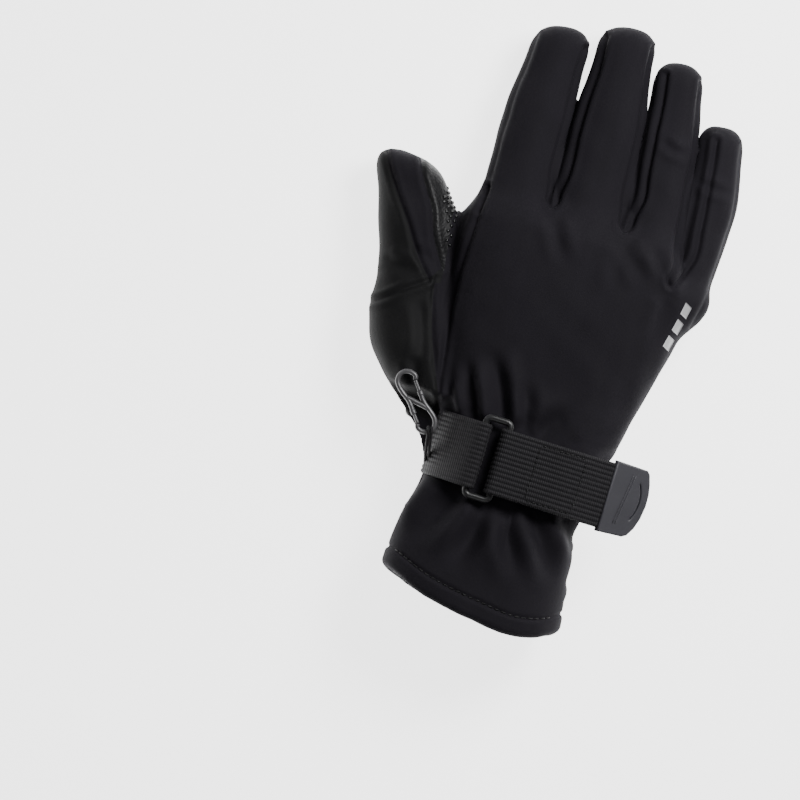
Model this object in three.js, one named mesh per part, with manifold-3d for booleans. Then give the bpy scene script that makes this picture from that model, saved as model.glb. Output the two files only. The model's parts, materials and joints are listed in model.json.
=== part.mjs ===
// A right-hand ski glove lying palm down: fingers along +Y, back of the hand up, thumb towards -X.
// All sizes are in millimetres and all angles in degrees.
import * as THREE from 'three';
import Module from 'manifold-3d';
import { mergeVertices } from 'three/addons/utils/BufferGeometryUtils.js';

const wasm = await Module();
wasm.setup();

const { degToRad } = THREE.MathUtils;

// ---------------------------------------------------------------- sizes

// Cloth layers, from the outside in, with an air gap between each two.
const gap = 0.3;
const shellThickness = 1.4;
const insulationThickness = 2;
const liningThickness = 1;
const fingerLiningThickness = 2.8;

// How deep each layer's outer face lies under the glove's surface.
const insulationDepth = shellThickness + gap;
const liningDepth = insulationDepth + insulationThickness + gap;

// The hand, from the hem to the knuckles. Each section is [y, left, right, bottom, top].
const cuffWidth = 84;
const cuffHeight = 53;
const wristWidth = 76;
const wristHeight = 45.5;
const palmHeight = 46;
const knuckleHeight = 32;
const knuckleY = 106;
const wristX = -6;
const cuffX = -8.5;
const undersideSag = 2;

// The hem is cut at a slant, and the palm side of the cuff is the longer one.
const hemSlant = -6;
const hemTilt = -8;
const hemPoint = new THREE.Vector3(-10, -80, 0);
const hemBandLength = 8;

// The side seam runs around the hand at one height.
const sideSeamZ = 22;
const seamGap = gap;

// Fingers. Widths and heights are at the root, the middle joint and the tip.
const fingers = [
  { name: 'index', rootY: knuckleY, length: 84, lean: -1.4, bow: -1.2, middleAt: 0.41,
    widths: [29.6, 28.2, 25.6], heights: [28, 26, 23.6] },
  { name: 'middle', rootY: knuckleY + 1, length: 90.5, lean: 1.7, bow: 0.6, middleAt: 0.49,
    widths: [32, 28.8, 25.6], heights: [29, 26.8, 24.2] },
  { name: 'ring', rootY: knuckleY, length: 83.5, lean: 4.8, bow: 0.5, middleAt: 0.46,
    widths: [23.8, 23, 21.2], heights: [28, 25.6, 23] },
  { name: 'little', rootY: knuckleY - 14, length: 74.5, lean: 3.6, bow: 2.2, middleAt: 0.42,
    widths: [17.6, 19.2, 18], heights: [25.2, 23.8, 21.8] },
];
const indexRootX = -35.2;
const fingerGaps = [2.4, 2.4, 3];
const knuckleOverhang = 2;

const thumb = {
  name: 'thumb', rootX: -70.3, rootY: 58, length: 62.5, lean: 15.4, bow: 2.8, middleAt: 0.52,
  widths: [29.2, 32.2, 30], heights: [29.6, 29, 27],
};

// The underside of a finger sinks from the knuckle to the tip.
const fingerUnderside = [7, 3.8, 2, 1.8];
const thumbUnderside = [2.2, 1.9, 1.8, 1.8];

// How far each limb starts inside the hand: sideways and back from its root.
const rootInsets = { index: [2, -20], middle: [0, -20], ring: [0, -20], little: [-7, -20], thumb: [9, -17] };

// Joints: the hinge lies this share of the height below the middle of the finger.
const hingeDrop = 0.12;
const fingerKnuckleBend = 60;
const fingerMiddleBend = 65;
const thumbKnuckleBend = 35;
const thumbMiddleBend = 55;
const notchSpare = 2;
const sideClearance = 2;

// Grip patches lie on the pads: how far each starts and ends before the tip.
const gripThickness = 1.1;
const gripWidth = 17;
const gripReach = { index: [14, 43], middle: [8, 37], ring: [11, 36], little: [11, 36], thumb: [14, 44] };

// The wrist strap: webbing, ring and touch fastener.
const strapWidth = 30;
const strapTilt = -2.3;
const strapY = -6.8;
const webbingThickness = 1.5;
const fastenerThickness = 1.2;
const ringWidth = 14.2;
const ringBar = 3;
const ringEndSpace = 1.5;
const ringLength = strapWidth + 2 * (ringBar + ringEndSpace);
const ringX = -17.4;
const ringRise = 4.4;
const ringZ = wristHeight + ringRise;
const barClearance = 0.4;
const anchorEndX = -42.5;
const tailEndX = 41;
const tabLength = 15;
const tabThickness = 4.6;
const slotRadius = 16;
const slotRim = 2.6;
const slotWidth = 1.6;
const fastenerStartX = 2.5;
const fastenerEndX = 25.5;

// The snap hook and the narrow loop that holds it.
const hookLength = 30;
const hookWidth = 11;
const hookThickness = 3;
const hookBar = 2.4;
const hookHub = 6;
const hookPoint = new THREE.Vector3(-47, -0.5, wristHeight - 5);
const hookHeading = 126;
const loopWidth = 2.6;
const loopThickness = 1.1;
const loopTailLength = 7.5;

// Flat elastics behind the gathered side of the cuff.
const elasticThickness = 0.9;
const elasticWidth = 6;
const elasticRows = [-30, -44, -58];

// ---------------------------------------------------------------- materials

function material(color, roughness, metalness = 0) {
  return new THREE.MeshStandardMaterial({ color, roughness, metalness });
}

const looks = {
  softshell: () => material(0x1f1d22, 0.85),
  suede: () => material(0x161519, 0.95),
  leather: () => material(0x0d0d0f, 0.35),
  webbing: () => material(0x121214, 0.8),
  fastener: () => material(0x19191b, 0.95),
  rubber: () => material(0x37373c, 0.55),
  plastic: () => material(0x464648, 0.45),
  ringPlastic: () => material(0x151517, 0.4),
  padding: () => material(0xd9d9d4, 0.95),
  fleece: () => material(0x26262a, 0.95),
  elastic: () => material(0x202022, 0.8),
  silicone: () => material(0x0b0b0c, 0.25),
};

// ---------------------------------------------------------------- solids

function solid(geometry) {
  const bare = geometry.clone();
  bare.deleteAttribute('normal');
  bare.deleteAttribute('uv');
  const welded = mergeVertices(bare, 1e-4);
  return new wasm.Manifold(new wasm.Mesh({
    numProp: 3,
    vertProperties: new Float32Array(welded.attributes.position.array),
    triVerts: new Uint32Array(welded.index.array),
  }));
}

function named(name, body, look) {
  const { vertProperties, triVerts } = body.getMesh();
  const geometry = new THREE.BufferGeometry();
  geometry.setAttribute('position', new THREE.BufferAttribute(new Float32Array(vertProperties), 3));
  geometry.setIndex(new THREE.BufferAttribute(new Uint32Array(triVerts), 1));
  geometry.computeVertexNormals();
  const mesh = new THREE.Mesh(geometry, look());
  mesh.name = name;
  return mesh;
}

function joined(bodies) {
  return bodies.reduce((whole, body) => whole.add(body));
}

function block(low, high) {
  const size = [0, 1, 2].map((axis) => high[axis] - low[axis]);
  const centre = [0, 1, 2].map((axis) => (high[axis] + low[axis]) / 2);
  return solid(new THREE.BoxGeometry(...size).translate(...centre));
}

// A flat outline in plan, extruded from zLow to zHigh.
function upright(outline, zLow, zHigh) {
  const shape = outline instanceof THREE.Shape ? outline : new THREE.Shape(outline);
  const geometry = new THREE.ExtrudeGeometry(shape, { depth: zHigh - zLow, bevelEnabled: false, curveSegments: 4 });
  return geometry.translate(0, 0, zLow);
}

// A profile in the XZ plane, extruded along Y about the origin.
function across(shape, width, curveSegments = 6) {
  const geometry = new THREE.ExtrudeGeometry(shape, { depth: width, bevelEnabled: false, curveSegments });
  return geometry.translate(0, 0, -width / 2).rotateX(Math.PI / 2);
}

function points(pairs) {
  return pairs.map(([x, y]) => new THREE.Vector2(x, y));
}

// A strip of even thickness along a path of points.
function strip(path, thickness) {
  const sides = [1, -1].map((side) => path.map((point, i) => {
    const before = path[Math.max(i - 1, 0)];
    const after = path[Math.min(i + 1, path.length - 1)];
    const along = after.clone().sub(before).normalize();
    return new THREE.Vector2(-along.y, along.x).multiplyScalar((side * thickness) / 2).add(point);
  }));
  return [...sides[0], ...sides[1].reverse()].reverse();
}

// ---------------------------------------------------------------- lofts

const up = new THREE.Vector3(0, 0, 1);

// A closed limb through sections [x, y, z, half width, half height], rounded at its far end if asked.
// grow moves the whole surface outwards, and floorZ flattens the underside.
function loft(sections, { grow = 0, sides = 16, rows = 8, squareness = 2.3, round = 0, floorZ = -Infinity }) {
  const centres = sections.map(([x, y, z]) => new THREE.Vector3(x, y, z));
  const last = centres.length - 1;
  const ending = centres[last].clone().sub(centres[last - 1]).normalize();
  centres[last].addScaledVector(ending, round > 0 ? grow : 0);
  const line = new THREE.CatmullRomCurve3(centres);
  const halves = new THREE.CatmullRomCurve3(sections.map(([, , , width, height]) => new THREE.Vector3(width, height, 0)));
  const stations = loftStations(line, rows, round);
  const geometry = new THREE.CylinderGeometry(1, 1, 1, sides, stations.length - 1);
  const position = geometry.attributes.position;
  const power = 2 / squareness;
  for (let i = 0; i < position.count; i += 1) {
    const station = stations[Math.round((position.getY(i) + 0.5) * (stations.length - 1))];
    const half = halves.getPoint(station.t);
    const along = line.getTangent(station.t);
    const sideways = new THREE.Vector3().crossVectors(along, up).normalize();
    const upward = new THREE.Vector3().crossVectors(sideways, along);
    const [x, z] = [position.getX(i), position.getZ(i)];
    const point = line.getPoint(station.t)
      .addScaledVector(sideways, Math.sign(x) * Math.abs(x) ** power * (half.x + grow) * station.shrink)
      .addScaledVector(upward, Math.sign(z) * Math.abs(z) ** power * (half.y + grow) * station.shrink);
    position.setXYZ(i, point.x, point.y, Math.max(point.z, floorZ - grow));
  }
  return solid(geometry);
}

// Where a loft's rows lie along its line, and how much each is drawn in to round the far end.
function loftStations(line, rows, round) {
  const straightEnd = 1 - round / line.getLength();
  const stations = [];
  for (let row = 0; row <= rows; row += 1) {
    stations.push({ t: (row / rows) * straightEnd, shrink: 1 });
  }
  const roundRows = round > 0 ? 3 : 0;
  for (let row = 1; row <= roundRows; row += 1) {
    const angle = (row / roundRows) * degToRad(80);
    const reach = Math.sin(angle) / Math.sin(degToRad(80));
    stations.push({ t: straightEnd + (1 - straightEnd) * reach, shrink: Math.cos(angle) ** 0.8 });
  }
  return stations;
}

function handSection([y, left, right, bottom, top]) {
  return [(left + right) / 2, y, (bottom + top) / 2, (right - left) / 2, (top - bottom) / 2];
}

function placeFingers() {
  let x = indexRootX;
  return fingers.map((finger, i) => {
    if (i > 0) {
      x += (fingers[i - 1].widths[0] + finger.widths[0]) / 2 + fingerGaps[i - 1];
    }
    return { ...finger, rootX: x };
  });
}

const placedFingers = placeFingers();
const limbs = [...placedFingers, thumb];
const knuckleLeft = indexRootX - fingers[0].widths[0] / 2 - knuckleOverhang;
const knuckleRight = placedFingers[3].rootX + fingers[3].widths[0] / 2 + knuckleOverhang / 2;

const sag = -undersideSag;
const handSections = [
  [-104, cuffX - cuffWidth / 2, cuffX + cuffWidth / 2, sag, cuffHeight],
  [-80, cuffX - cuffWidth / 2, cuffX + cuffWidth / 2, sag, cuffHeight],
  [-60, cuffX - cuffWidth / 2 - 0.5, cuffX + cuffWidth / 2 - 0.5, sag / 2, cuffHeight - 2.5],
  [-40, wristX - wristWidth / 2 - 4.5, wristX + wristWidth / 2 - 1, sag / 2, wristHeight + 1.5],
  [-22, wristX - wristWidth / 2 - 0.5, wristX + wristWidth / 2 - 2, sag / 2, wristHeight - 0.8],
  [0, wristX - wristWidth / 2 + 0.5, wristX + wristWidth / 2 + 3, sag, wristHeight - 1],
  [14, wristX - wristWidth / 2 - 2, wristX + wristWidth / 2 + 7, sag, wristHeight - 1],
  [32, -49, 43, sag, palmHeight - 1.2],
  [52, -52, 48, sag, palmHeight - 1],
  [72, -53.5, 53, sag, palmHeight - 1.8],
  [knuckleY - 16, -53.5, 58, 1.5, palmHeight - 3.6],
  [knuckleY + 6, knuckleLeft, knuckleRight, 5.5, 5.5 + knuckleHeight],
].map(handSection);

// The ball of the thumb, from the wrist to just past the thumb's knuckle.
const thenarSections = [
  [-36, -8, 21, 5, 14],
  [-42, 8, 20.5, 8, 17.5],
  [-53, 30, 19, 15, 18],
  [-64, 47.5, 17.9, 15.2, 16],
  [-72.3, 66, 17, 14.6, 14.8],
];

function limbSections(limb) {
  const { rootX, rootY, length, lean, bow, widths, heights } = limb;
  const underside = limb === thumb ? thumbUnderside : fingerUnderside;
  const spots = [
    { along: 0, width: widths[0], height: heights[0], bottom: underside[0] },
    { along: 0.27, width: (widths[0] + widths[1]) / 2, height: (heights[0] + heights[1]) / 2, bottom: underside[1] },
    { along: 0.55, width: widths[1], height: heights[1], bottom: underside[2] },
    { along: 0.8, width: widths[2], height: heights[2], bottom: underside[3] },
    { along: 1, width: widths[2] * 0.92, height: heights[2] * 0.92, bottom: underside[3] + 0.6 },
  ];
  const sections = spots.map(({ along, width, height, bottom }) => {
    const sideways = bow * Math.sin(Math.PI * along);
    const x = rootX - Math.sin(degToRad(lean)) * length * along + Math.cos(degToRad(lean)) * sideways;
    const y = rootY + Math.cos(degToRad(lean)) * length * along + Math.sin(degToRad(lean)) * sideways;
    return [x, y, bottom + height / 2, width / 2, height / 2];
  });
  return [limbRoot(limb, sections[0]), ...sections];
}

// A limb starts inside the hand, where it is narrower, so that its root is hidden.
function limbRoot(limb, [x, y, z, halfWidth, halfHeight]) {
  const [aside, back] = rootInsets[limb.name];
  return [x + aside, y + back, z + 1, halfWidth * 0.62, halfHeight * 0.7];
}

const limbLofts = new Map();
function limbForm(limb, grow) {
  const key = `${limb.name} ${grow}`;
  if (!limbLofts.has(key)) {
    limbLofts.set(key, loft(limbSections(limb), { grow, sides: 10, rows: 4, squareness: 2.2, round: 13 }));
  }
  return limbLofts.get(key);
}

// ---------------------------------------------------------------- joints

// A hinge of a limb: its place, the way the limb points there, and the wedge that lets it bend.
function limbHinge(limb, along, bend) {
  const line = new THREE.CatmullRomCurve3(limbSections(limb).map(([x, y, z]) => new THREE.Vector3(x, y, z)));
  const halves = new THREE.CatmullRomCurve3(limbSections(limb).map(([, , , w, h]) => new THREE.Vector3(w, h, 0)));
  const goal = limb.rootY + Math.cos(degToRad(limb.lean)) * limb.length * along;
  let [low, high] = [0, 1];
  for (let i = 0; i < 30; i += 1) {
    const middle = (low + high) / 2;
    if (line.getPoint(middle).y < goal) low = middle;
    else high = middle;
  }
  const place = line.getPoint(low);
  const tangent = line.getTangent(low);
  const heading = new THREE.Vector3(tangent.x, tangent.y, 0).normalize();
  place.z -= halves.getPoint(low).y * hingeDrop * 2;
  return { place, heading, bend, halfWidth: halves.getPoint(low).x };
}

// Wider than any limb to either side of its hinge.
const sideReach = 60;

// The space past a hinge. offset moves its near faces along the limb, and half its bend opens a wedge
// under the hinge: forwards for the piece that moves, backwards for the piece that stays.
function pastHinge(hinge, offset, wedgeSide, inner, outer) {
  const far = 120;
  const tall = 60;
  const wedge = Math.tan(degToRad(hinge.bend / 2 + notchSpare)) * tall * wedgeSide;
  const profile = points([[offset, tall], [offset, 0], [offset + wedge, -tall], [far, -tall], [far, tall]]);
  const geometry = new THREE.ExtrudeGeometry(new THREE.Shape(profile), { depth: inner + outer, bevelEnabled: false });
  const sideways = new THREE.Vector3().crossVectors(hinge.heading, up);
  const frame = new THREE.Matrix4().makeBasis(hinge.heading, up, sideways).setPosition(hinge.place);
  return solid(geometry.translate(0, 0, -outer).applyMatrix4(frame));
}

const joints = new Map(limbs.map((limb) => {
  const isThumb = limb === thumb;
  return [limb.name, {
    knuckle: limbHinge(limb, 0, isThumb ? thumbKnuckleBend : fingerKnuckleBend),
    middle: limbHinge(limb, limb.middleAt, isThumb ? thumbMiddleBend : fingerMiddleBend),
  }];
}));

// What each limb cuts off the hand's body: left and right of the limb, up to its neighbours.
function handCut(limb, spare) {
  const hinge = joints.get(limb.name).knuckle;
  const closeSide = hinge.halfWidth + sideClearance + spare;
  const sharedSide = closeSide + fingerGaps[0];
  const openSide = 40;
  const sides = {
    index: [sharedSide, openSide],
    middle: [sharedSide, sharedSide],
    ring: [openSide, sharedSide],
    little: [openSide, closeSide],
    thumb: [closeSide, openSide],
  }[limb.name];
  return pastHinge(hinge, -gap / 2 - spare, -1, ...sides);
}

// Cuts the hand back to its side of a limb's hinge.
function cutAtHinge(body, limb) {
  const past = pastHinge(joints.get(limb.name).knuckle, -gap / 2, -1, sideReach, sideReach);
  return body.subtract(handCut(limb, 0)).subtract(limbForm(limb, gap).intersect(past));
}

// ---------------------------------------------------------------- the hand

function handShape(grow) {
  return { grow, sides: 18, rows: 8, squareness: 2.6, floorZ: 0 };
}

// The hand's solid form at a depth under its surface, with the roots of all the limbs.
const handForms = new Map();
function handForm(grow) {
  if (!handForms.has(grow)) {
    const palm = loft(handSections, handShape(grow));
    const thenar = loft(thenarSections, { grow, sides: 10, rows: 4, floorZ: 0 });
    const body = limbs.reduce((whole, limb) => whole.subtract(handCut(limb, -grow)), palm.add(thenar));
    handForms.set(grow, joined([body, ...limbs.map((limb) => limbForm(limb, grow))]));
  }
  return handForms.get(grow);
}

// Everything past a plane that lies a distance in from the hem.
function pastHem(distance) {
  const size = 300;
  const geometry = new THREE.BoxGeometry(size, size, size).translate(0, -size / 2, 0)
    .rotateX(degToRad(hemTilt)).rotateZ(degToRad(hemSlant));
  const inward = new THREE.Vector3(0, distance, 0).applyAxisAngle(up, degToRad(hemSlant));
  return solid(geometry.translate(hemPoint.x + inward.x, hemPoint.y + inward.y, 0));
}

// One layer of the hand between two depths, open at the hem and at each limb.
function handLayer(outerDepth, innerDepth, hemInset = 0) {
  const layer = handForm(-outerDepth).subtract(handForm(-innerDepth)).subtract(pastHem(hemInset));
  return limbs.reduce(cutAtHinge, layer);
}

const far = 200;
const aboveSeam = block([-far, -far, sideSeamZ + seamGap / 2], [far, far, far]);
const belowSeam = block([-far, -far, -far], [far, far, sideSeamZ - seamGap / 2]);

// Seams in plan.
const seamEndY = knuckleY + 19;
const thumbSideSeam = points([[-41, -19], [-42.5, 4], [-46, 18], [-49.5, 51], [-50, 90], [-51.5, seamEndY]]);
const thumbLeatherSeam = points([[-43, seamEndY], [-43.5, 86], [-33, 71], [-20, 56], [-8, 39], [-4.5, 20], [-2.5, -14]]);
const patchBottomSeam = points([[-8, 39], [22, 41.5], [80, 48.5]]);
const cuffSeam = points([[-far, -14], [-24, -11], [0, -9], [20, -13], [far, -19]]);

function seamWall(path) {
  return solid(upright(strip(path, seamGap), -far, far));
}

function plan(outline) {
  const shape = new THREE.Shape(THREE.ShapeUtils.isClockWise(outline) ? [...outline].reverse() : outline);
  return solid(upright(shape, -far, far));
}

function corner(x, y) {
  return new THREE.Vector2(x, y);
}

const leftOfThumbSide = plan([...thumbSideSeam, corner(-far, seamEndY), corner(-far, -19)]);
const leftOfThumbLeather = plan([...thumbLeatherSeam, corner(-far, -14), corner(-far, seamEndY)]);
const patchArea = plan([...thumbLeatherSeam.slice(0, 5), ...patchBottomSeam.slice(1), corner(80, seamEndY)]);
const belowPatch = plan([...patchBottomSeam, corner(80, -25), corner(-2.7, -25), ...thumbLeatherSeam.slice(5).reverse()]);
const cuffSide = plan([...cuffSeam, corner(far, -far), corner(-far, -far)]);

function handPanels() {
  const shell = handLayer(0, shellThickness);
  const hemBand = shell.intersect(pastHem(hemBandLength - seamGap / 2));
  const body = shell.subtract(pastHem(hemBandLength + seamGap / 2));
  const back = body.intersect(aboveSeam);
  const sideSeam = seamWall([corner(-far, -19), ...thumbSideSeam]);
  const side = back.subtract(sideSeam).intersect(leftOfThumbSide);
  const palmSeams = [thumbLeatherSeam, patchBottomSeam].map(seamWall);
  const under = body.intersect(belowSeam).subtract(seamWall(cuffSeam));
  const palm = palmSeams.reduce((whole, wall) => whole.subtract(wall), under.subtract(cuffSide));
  return [
    named('hem_band', hemBand, looks.softshell),
    named('back_panel', back.subtract(sideSeam).subtract(leftOfThumbSide), looks.softshell),
    named('thumb_side_panel', side, looks.suede),
    named('cuff_panel', under.intersect(cuffSide), looks.softshell),
    named('thumb_leather', palm.intersect(leftOfThumbLeather), looks.leather),
    named('palm_patch', palm.intersect(patchArea), looks.leather),
    named('palm_heel_panel', palm.intersect(belowPatch).subtract(leftOfThumbLeather), looks.softshell),
  ];
}

function handPadding() {
  const wristLine = -20;
  const padding = handLayer(insulationDepth, insulationDepth + insulationThickness);
  const forward = padding.intersect(block([-far, wristLine, -far], [far, far, far]));
  const elastics = elasticRows.map((y, i) => {
    const sheet = handForm(-insulationDepth).subtract(handForm(-insulationDepth - elasticThickness));
    const row = block([-far, y - elasticWidth / 2, -far], [far, y + elasticWidth / 2, sideSeamZ - 4]);
    return named(`cuff_elastic_${i + 1}`, sheet.intersect(row), looks.elastic);
  });
  return [
    named('back_insulation', forward.intersect(aboveSeam), looks.padding),
    named('palm_insulation', forward.intersect(belowSeam), looks.padding),
    named('hand_lining', handLayer(liningDepth, liningDepth + liningThickness, 1.5), looks.fleece),
    ...elastics,
  ];
}

// ---------------------------------------------------------------- the strap

function alongStrap(geometry) {
  return geometry.rotateZ(degToRad(strapTilt)).translate(0, strapY, 0);
}

// A band that lies on the back of the hand between two heights above it.
function strapBand(lowHeight, highHeight, xStart, xEnd, zLow, width) {
  const size = [xEnd - xStart, width, 100];
  const box = new THREE.BoxGeometry(...size).translate((xStart + xEnd) / 2, 0, zLow + 50);
  return handForm(highHeight).subtract(handForm(lowHeight)).intersect(solid(alongStrap(box)));
}

function barLoop(x, z, holeRadius) {
  const shape = new THREE.Shape().absarc(x, z, holeRadius + webbingThickness, 0, Math.PI * 2);
  shape.holes.push(new THREE.Path().absarc(x, z, holeRadius, 0, Math.PI * 2, true));
  return shape;
}

const ringLeftX = ringX - (ringWidth - ringBar) / 2;
const ringRightX = ringX + (ringWidth - ringBar) / 2;
const barHole = (ringBar / 2) * Math.SQRT2 + barClearance;
const webbingTop = gap + webbingThickness;

function anchorWebbing() {
  const band = strapBand(gap, webbingTop, anchorEndX, ringLeftX - 7, sideSeamZ + 6, strapWidth);
  const loop = solid(alongStrap(across(barLoop(ringLeftX, ringZ, barHole), strapWidth)));
  const lowZ = ringZ - barHole - webbingThickness / 2;
  const path = points([[ringLeftX - 10, lowZ - 4.2], [ringLeftX - 5, lowZ - 1.6], [ringLeftX - 0.6, lowZ]]);
  const ramp = solid(alongStrap(across(new THREE.Shape(strip(path, webbingThickness)), strapWidth)));
  return band.add(ramp.subtract(handForm(gap))).add(loop);
}

function underWebbing() {
  const start = ringRightX + barHole + webbingThickness + gap;
  return strapBand(gap, webbingTop, start, far, sideSeamZ + 2, strapWidth);
}

function loopPatch() {
  const low = webbingTop + gap;
  return strapBand(low, low + fastenerThickness, fastenerStartX, fastenerEndX, 30, strapWidth - 3);
}

function wristRing() {
  const rounded = (width, length, radius) => {
    const [x, y] = [width / 2, length / 2];
    const outline = new THREE.Shape();
    outline.absarc(x - radius, y - radius, radius, 0, Math.PI / 2);
    outline.absarc(radius - x, y - radius, radius, Math.PI / 2, Math.PI);
    outline.absarc(radius - x, radius - y, radius, Math.PI, Math.PI * 1.5);
    outline.absarc(x - radius, radius - y, radius, Math.PI * 1.5, Math.PI * 2);
    return outline;
  };
  const outline = rounded(ringWidth, ringLength, ringBar);
  outline.holes.push(rounded(ringWidth - 2 * ringBar, ringLength - 2 * ringBar, 1));
  const ring = upright(outline, ringZ - ringBar / 2, ringZ + ringBar / 2).translate(ringX, 0, 0);
  return solid(alongStrap(ring));
}

const tailZ = ringZ + 1.5;
const tailPath = points([[ringRightX + barHole + 0.6, tailZ], [16, tailZ - 0.2], [30, tailZ - 2.6], [tailEndX, tailZ - 6]]);
const tabEnd = points([[tailEndX + tabLength, tailZ - 10.6]])[0];

function tailWebbing() {
  const length = solid(alongStrap(across(new THREE.Shape(strip(tailPath, webbingThickness)), strapWidth)));
  const loop = solid(alongStrap(across(barLoop(ringRightX, ringZ, barHole), strapWidth)));
  return length.add(loop);
}

function hookPatch() {
  const drop = (webbingThickness + fastenerThickness) / 2 + gap;
  const path = [[fastenerStartX, 0], [16, 0.2], [fastenerEndX, 1.8]].map(([x, fall]) => [x, tailZ - drop - fall]);
  const shape = new THREE.Shape(strip(points(path), fastenerThickness));
  return solid(alongStrap(across(shape, strapWidth - 3)));
}

// The moulded tab grips the end of the webbing and narrows to a round nose with a curved slot.
function pullTab() {
  const start = tailPath[3].clone();
  const along = tabEnd.clone().sub(start).normalize();
  const back = start.clone().addScaledVector(along, -3);
  const profile = new THREE.Shape(strip([back, tabEnd], tabThickness));
  const reach = tailEndX + tabLength;
  const [root, nose] = [strapWidth / 2 + 0.6, strapWidth / 2 - 1.2];
  const outline = new THREE.Shape(points([[tailEndX - 6, -root], [tailEndX + 4, -root], [reach - 5, 1 - nose]]));
  outline.quadraticCurveTo(reach, -nose * 0.6, reach, 0);
  outline.quadraticCurveTo(reach, nose * 0.6, reach - 5, nose - 1);
  outline.lineTo(tailEndX + 4, root);
  outline.lineTo(tailEndX - 6, root);
  const slot = new THREE.Path();
  slot.absarc(reach - slotRadius - slotRim, 0, slotRadius, -0.6, 0.6);
  slot.absarc(reach - slotRadius - slotRim, 0, slotRadius - slotWidth, 0.6, -0.6, true);
  outline.holes.push(slot);
  const plate = solid(alongStrap(across(profile, strapWidth + 4))).intersect(solid(alongStrap(upright(outline, 0, 100))));
  const pocketPath = [start.clone().addScaledVector(along, -8), start.clone().addScaledVector(along, gap)];
  const pocket = across(new THREE.Shape(strip(pocketPath, webbingThickness + 2 * gap)), strapWidth + 2 * gap);
  const bent = new THREE.Shape(strip(tailPath.slice(2), webbingThickness + 2 * gap));
  return plate.subtract(solid(alongStrap(pocket))).subtract(solid(alongStrap(across(bent, strapWidth + 2 * gap))));
}

// ---------------------------------------------------------------- the snap hook

// Both are drawn with the held bar at the origin and the hook lying along +X.
const eyeLength = (hookLength - hookHub - 2 * hookBar) / 2;
const eyeHalf = hookWidth / 2 - hookBar;
const firstEye = hookBar / 2;
const secondEye = firstEye + eyeLength + hookHub;

function eyeHole(start) {
  return points([[start, -eyeHalf], [start + eyeLength, -eyeHalf], [start + eyeLength, eyeHalf], [start, eyeHalf]]);
}

function hookFrame() {
  const [near, distant] = [-hookBar / 2, hookLength - hookBar / 2];
  const half = hookWidth / 2;
  const outline = new THREE.Shape(points([[near, -half + 1], [near + 1, -half], [distant - 4, -half]]));
  outline.quadraticCurveTo(distant, -half, distant, 0);
  outline.quadraticCurveTo(distant, half, distant - 4, half);
  outline.lineTo(near + 1, half);
  outline.lineTo(near, half - 1);
  const body = solid(upright(outline, -hookThickness / 2, hookThickness / 2));
  const eyes = [firstEye, secondEye].map((start) => solid(upright(eyeHole(start), -hookThickness, hookThickness)));
  return [...eyes, ...gateSeats()].reduce((whole, cut) => whole.subtract(cut), body);
}

// Each gate closes one side of an eye: the first eye's left side and the second eye's right side.
const gates = [
  { name: 'lower', side: 1, pivot: firstEye + eyeLength - 0.4, tip: firstEye + 0.6 },
  { name: 'upper', side: -1, pivot: secondEye + 0.4, tip: secondEye + eyeLength - 1.6 },
];
const gateY = hookWidth / 2 - hookBar / 2;

function gateSeats() {
  return gates.map(({ side, pivot, tip }) => {
    const [low, high] = [Math.min(pivot, tip) - 1.2, Math.max(pivot, tip) + 1.2];
    const [inner, outer] = [side * (gateY - hookBar), side * (gateY + hookBar)];
    return block([low, Math.min(inner, outer), -far], [high, Math.max(inner, outer), far]);
  });
}

function gateBar({ side, pivot, tip }) {
  const spare = 1.2 - gap;
  const [low, high] = [Math.min(pivot, tip) - spare, Math.max(pivot, tip) + spare];
  const [inner, outer] = [side * (gateY - hookBar / 2 + 0.3), side * (gateY + hookBar / 2)];
  const thickness = hookThickness / 2 - 0.3;
  return block([low, Math.min(inner, outer), -thickness], [high, Math.max(inner, outer), thickness]);
}

// The sewn loop goes round the held bar and back to the side seam.
function hangerLoop() {
  const hole = (hookThickness / 2) * Math.SQRT2 + barClearance;
  const shape = new THREE.Shape().absarc(0, 0, hole + loopThickness, 0, Math.PI * 2);
  shape.holes.push(new THREE.Path().absarc(0, 0, hole, 0, Math.PI * 2, true));
  const path = points([[-hole - 0.5, 0], [-loopTailLength * 0.5, -0.6], [-loopTailLength, -1.4]]);
  const eye = solid(across(shape, loopWidth));
  return eye.add(solid(across(new THREE.Shape(strip(path, loopThickness * 2)), loopWidth)));
}

// ---------------------------------------------------------------- assembly

// Hangs a piece drawn in the glove's own frame on a group, without moving it.
function hang(group, mesh) {
  group.updateWorldMatrix(true, false);
  mesh.geometry.applyMatrix4(group.matrixWorld.clone().invert());
  group.add(mesh);
}

// A group at a hinge whose own X axis is the hinge's axis.
function hingeGroup(parent, name, place, axis) {
  const group = new THREE.Group();
  group.name = name;
  parent.add(group);
  parent.updateWorldMatrix(true, false);
  const turn = new THREE.Quaternion().setFromUnitVectors(new THREE.Vector3(1, 0, 0), axis);
  const world = new THREE.Matrix4().makeRotationFromQuaternion(turn).setPosition(place);
  parent.matrixWorld.clone().invert().multiply(world).decompose(group.position, group.quaternion, group.scale);
  return group;
}

function bendAxis({ heading }) {
  return new THREE.Vector3(-heading.y, heading.x, 0);
}

function limbLayer(limb, outerDepth, innerDepth) {
  return limbForm(limb, -outerDepth).subtract(limbForm(limb, -innerDepth));
}

function gripPatch(limb) {
  const [nearTip, farFromTip] = gripReach[limb.name];
  const tall = 40;
  const skin = limbForm(limb, gap + gripThickness).subtract(limbForm(limb, gap));
  const lean = degToRad(limb.lean);
  const area = new THREE.BoxGeometry(gripWidth, farFromTip - nearTip, tall)
    .translate(0, limb.length - (nearTip + farFromTip) / 2, fingerUnderside[3] + 5 - tall / 2)
    .rotateZ(lean).translate(limb.rootX, limb.rootY, 0);
  return skin.intersect(solid(area));
}

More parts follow.
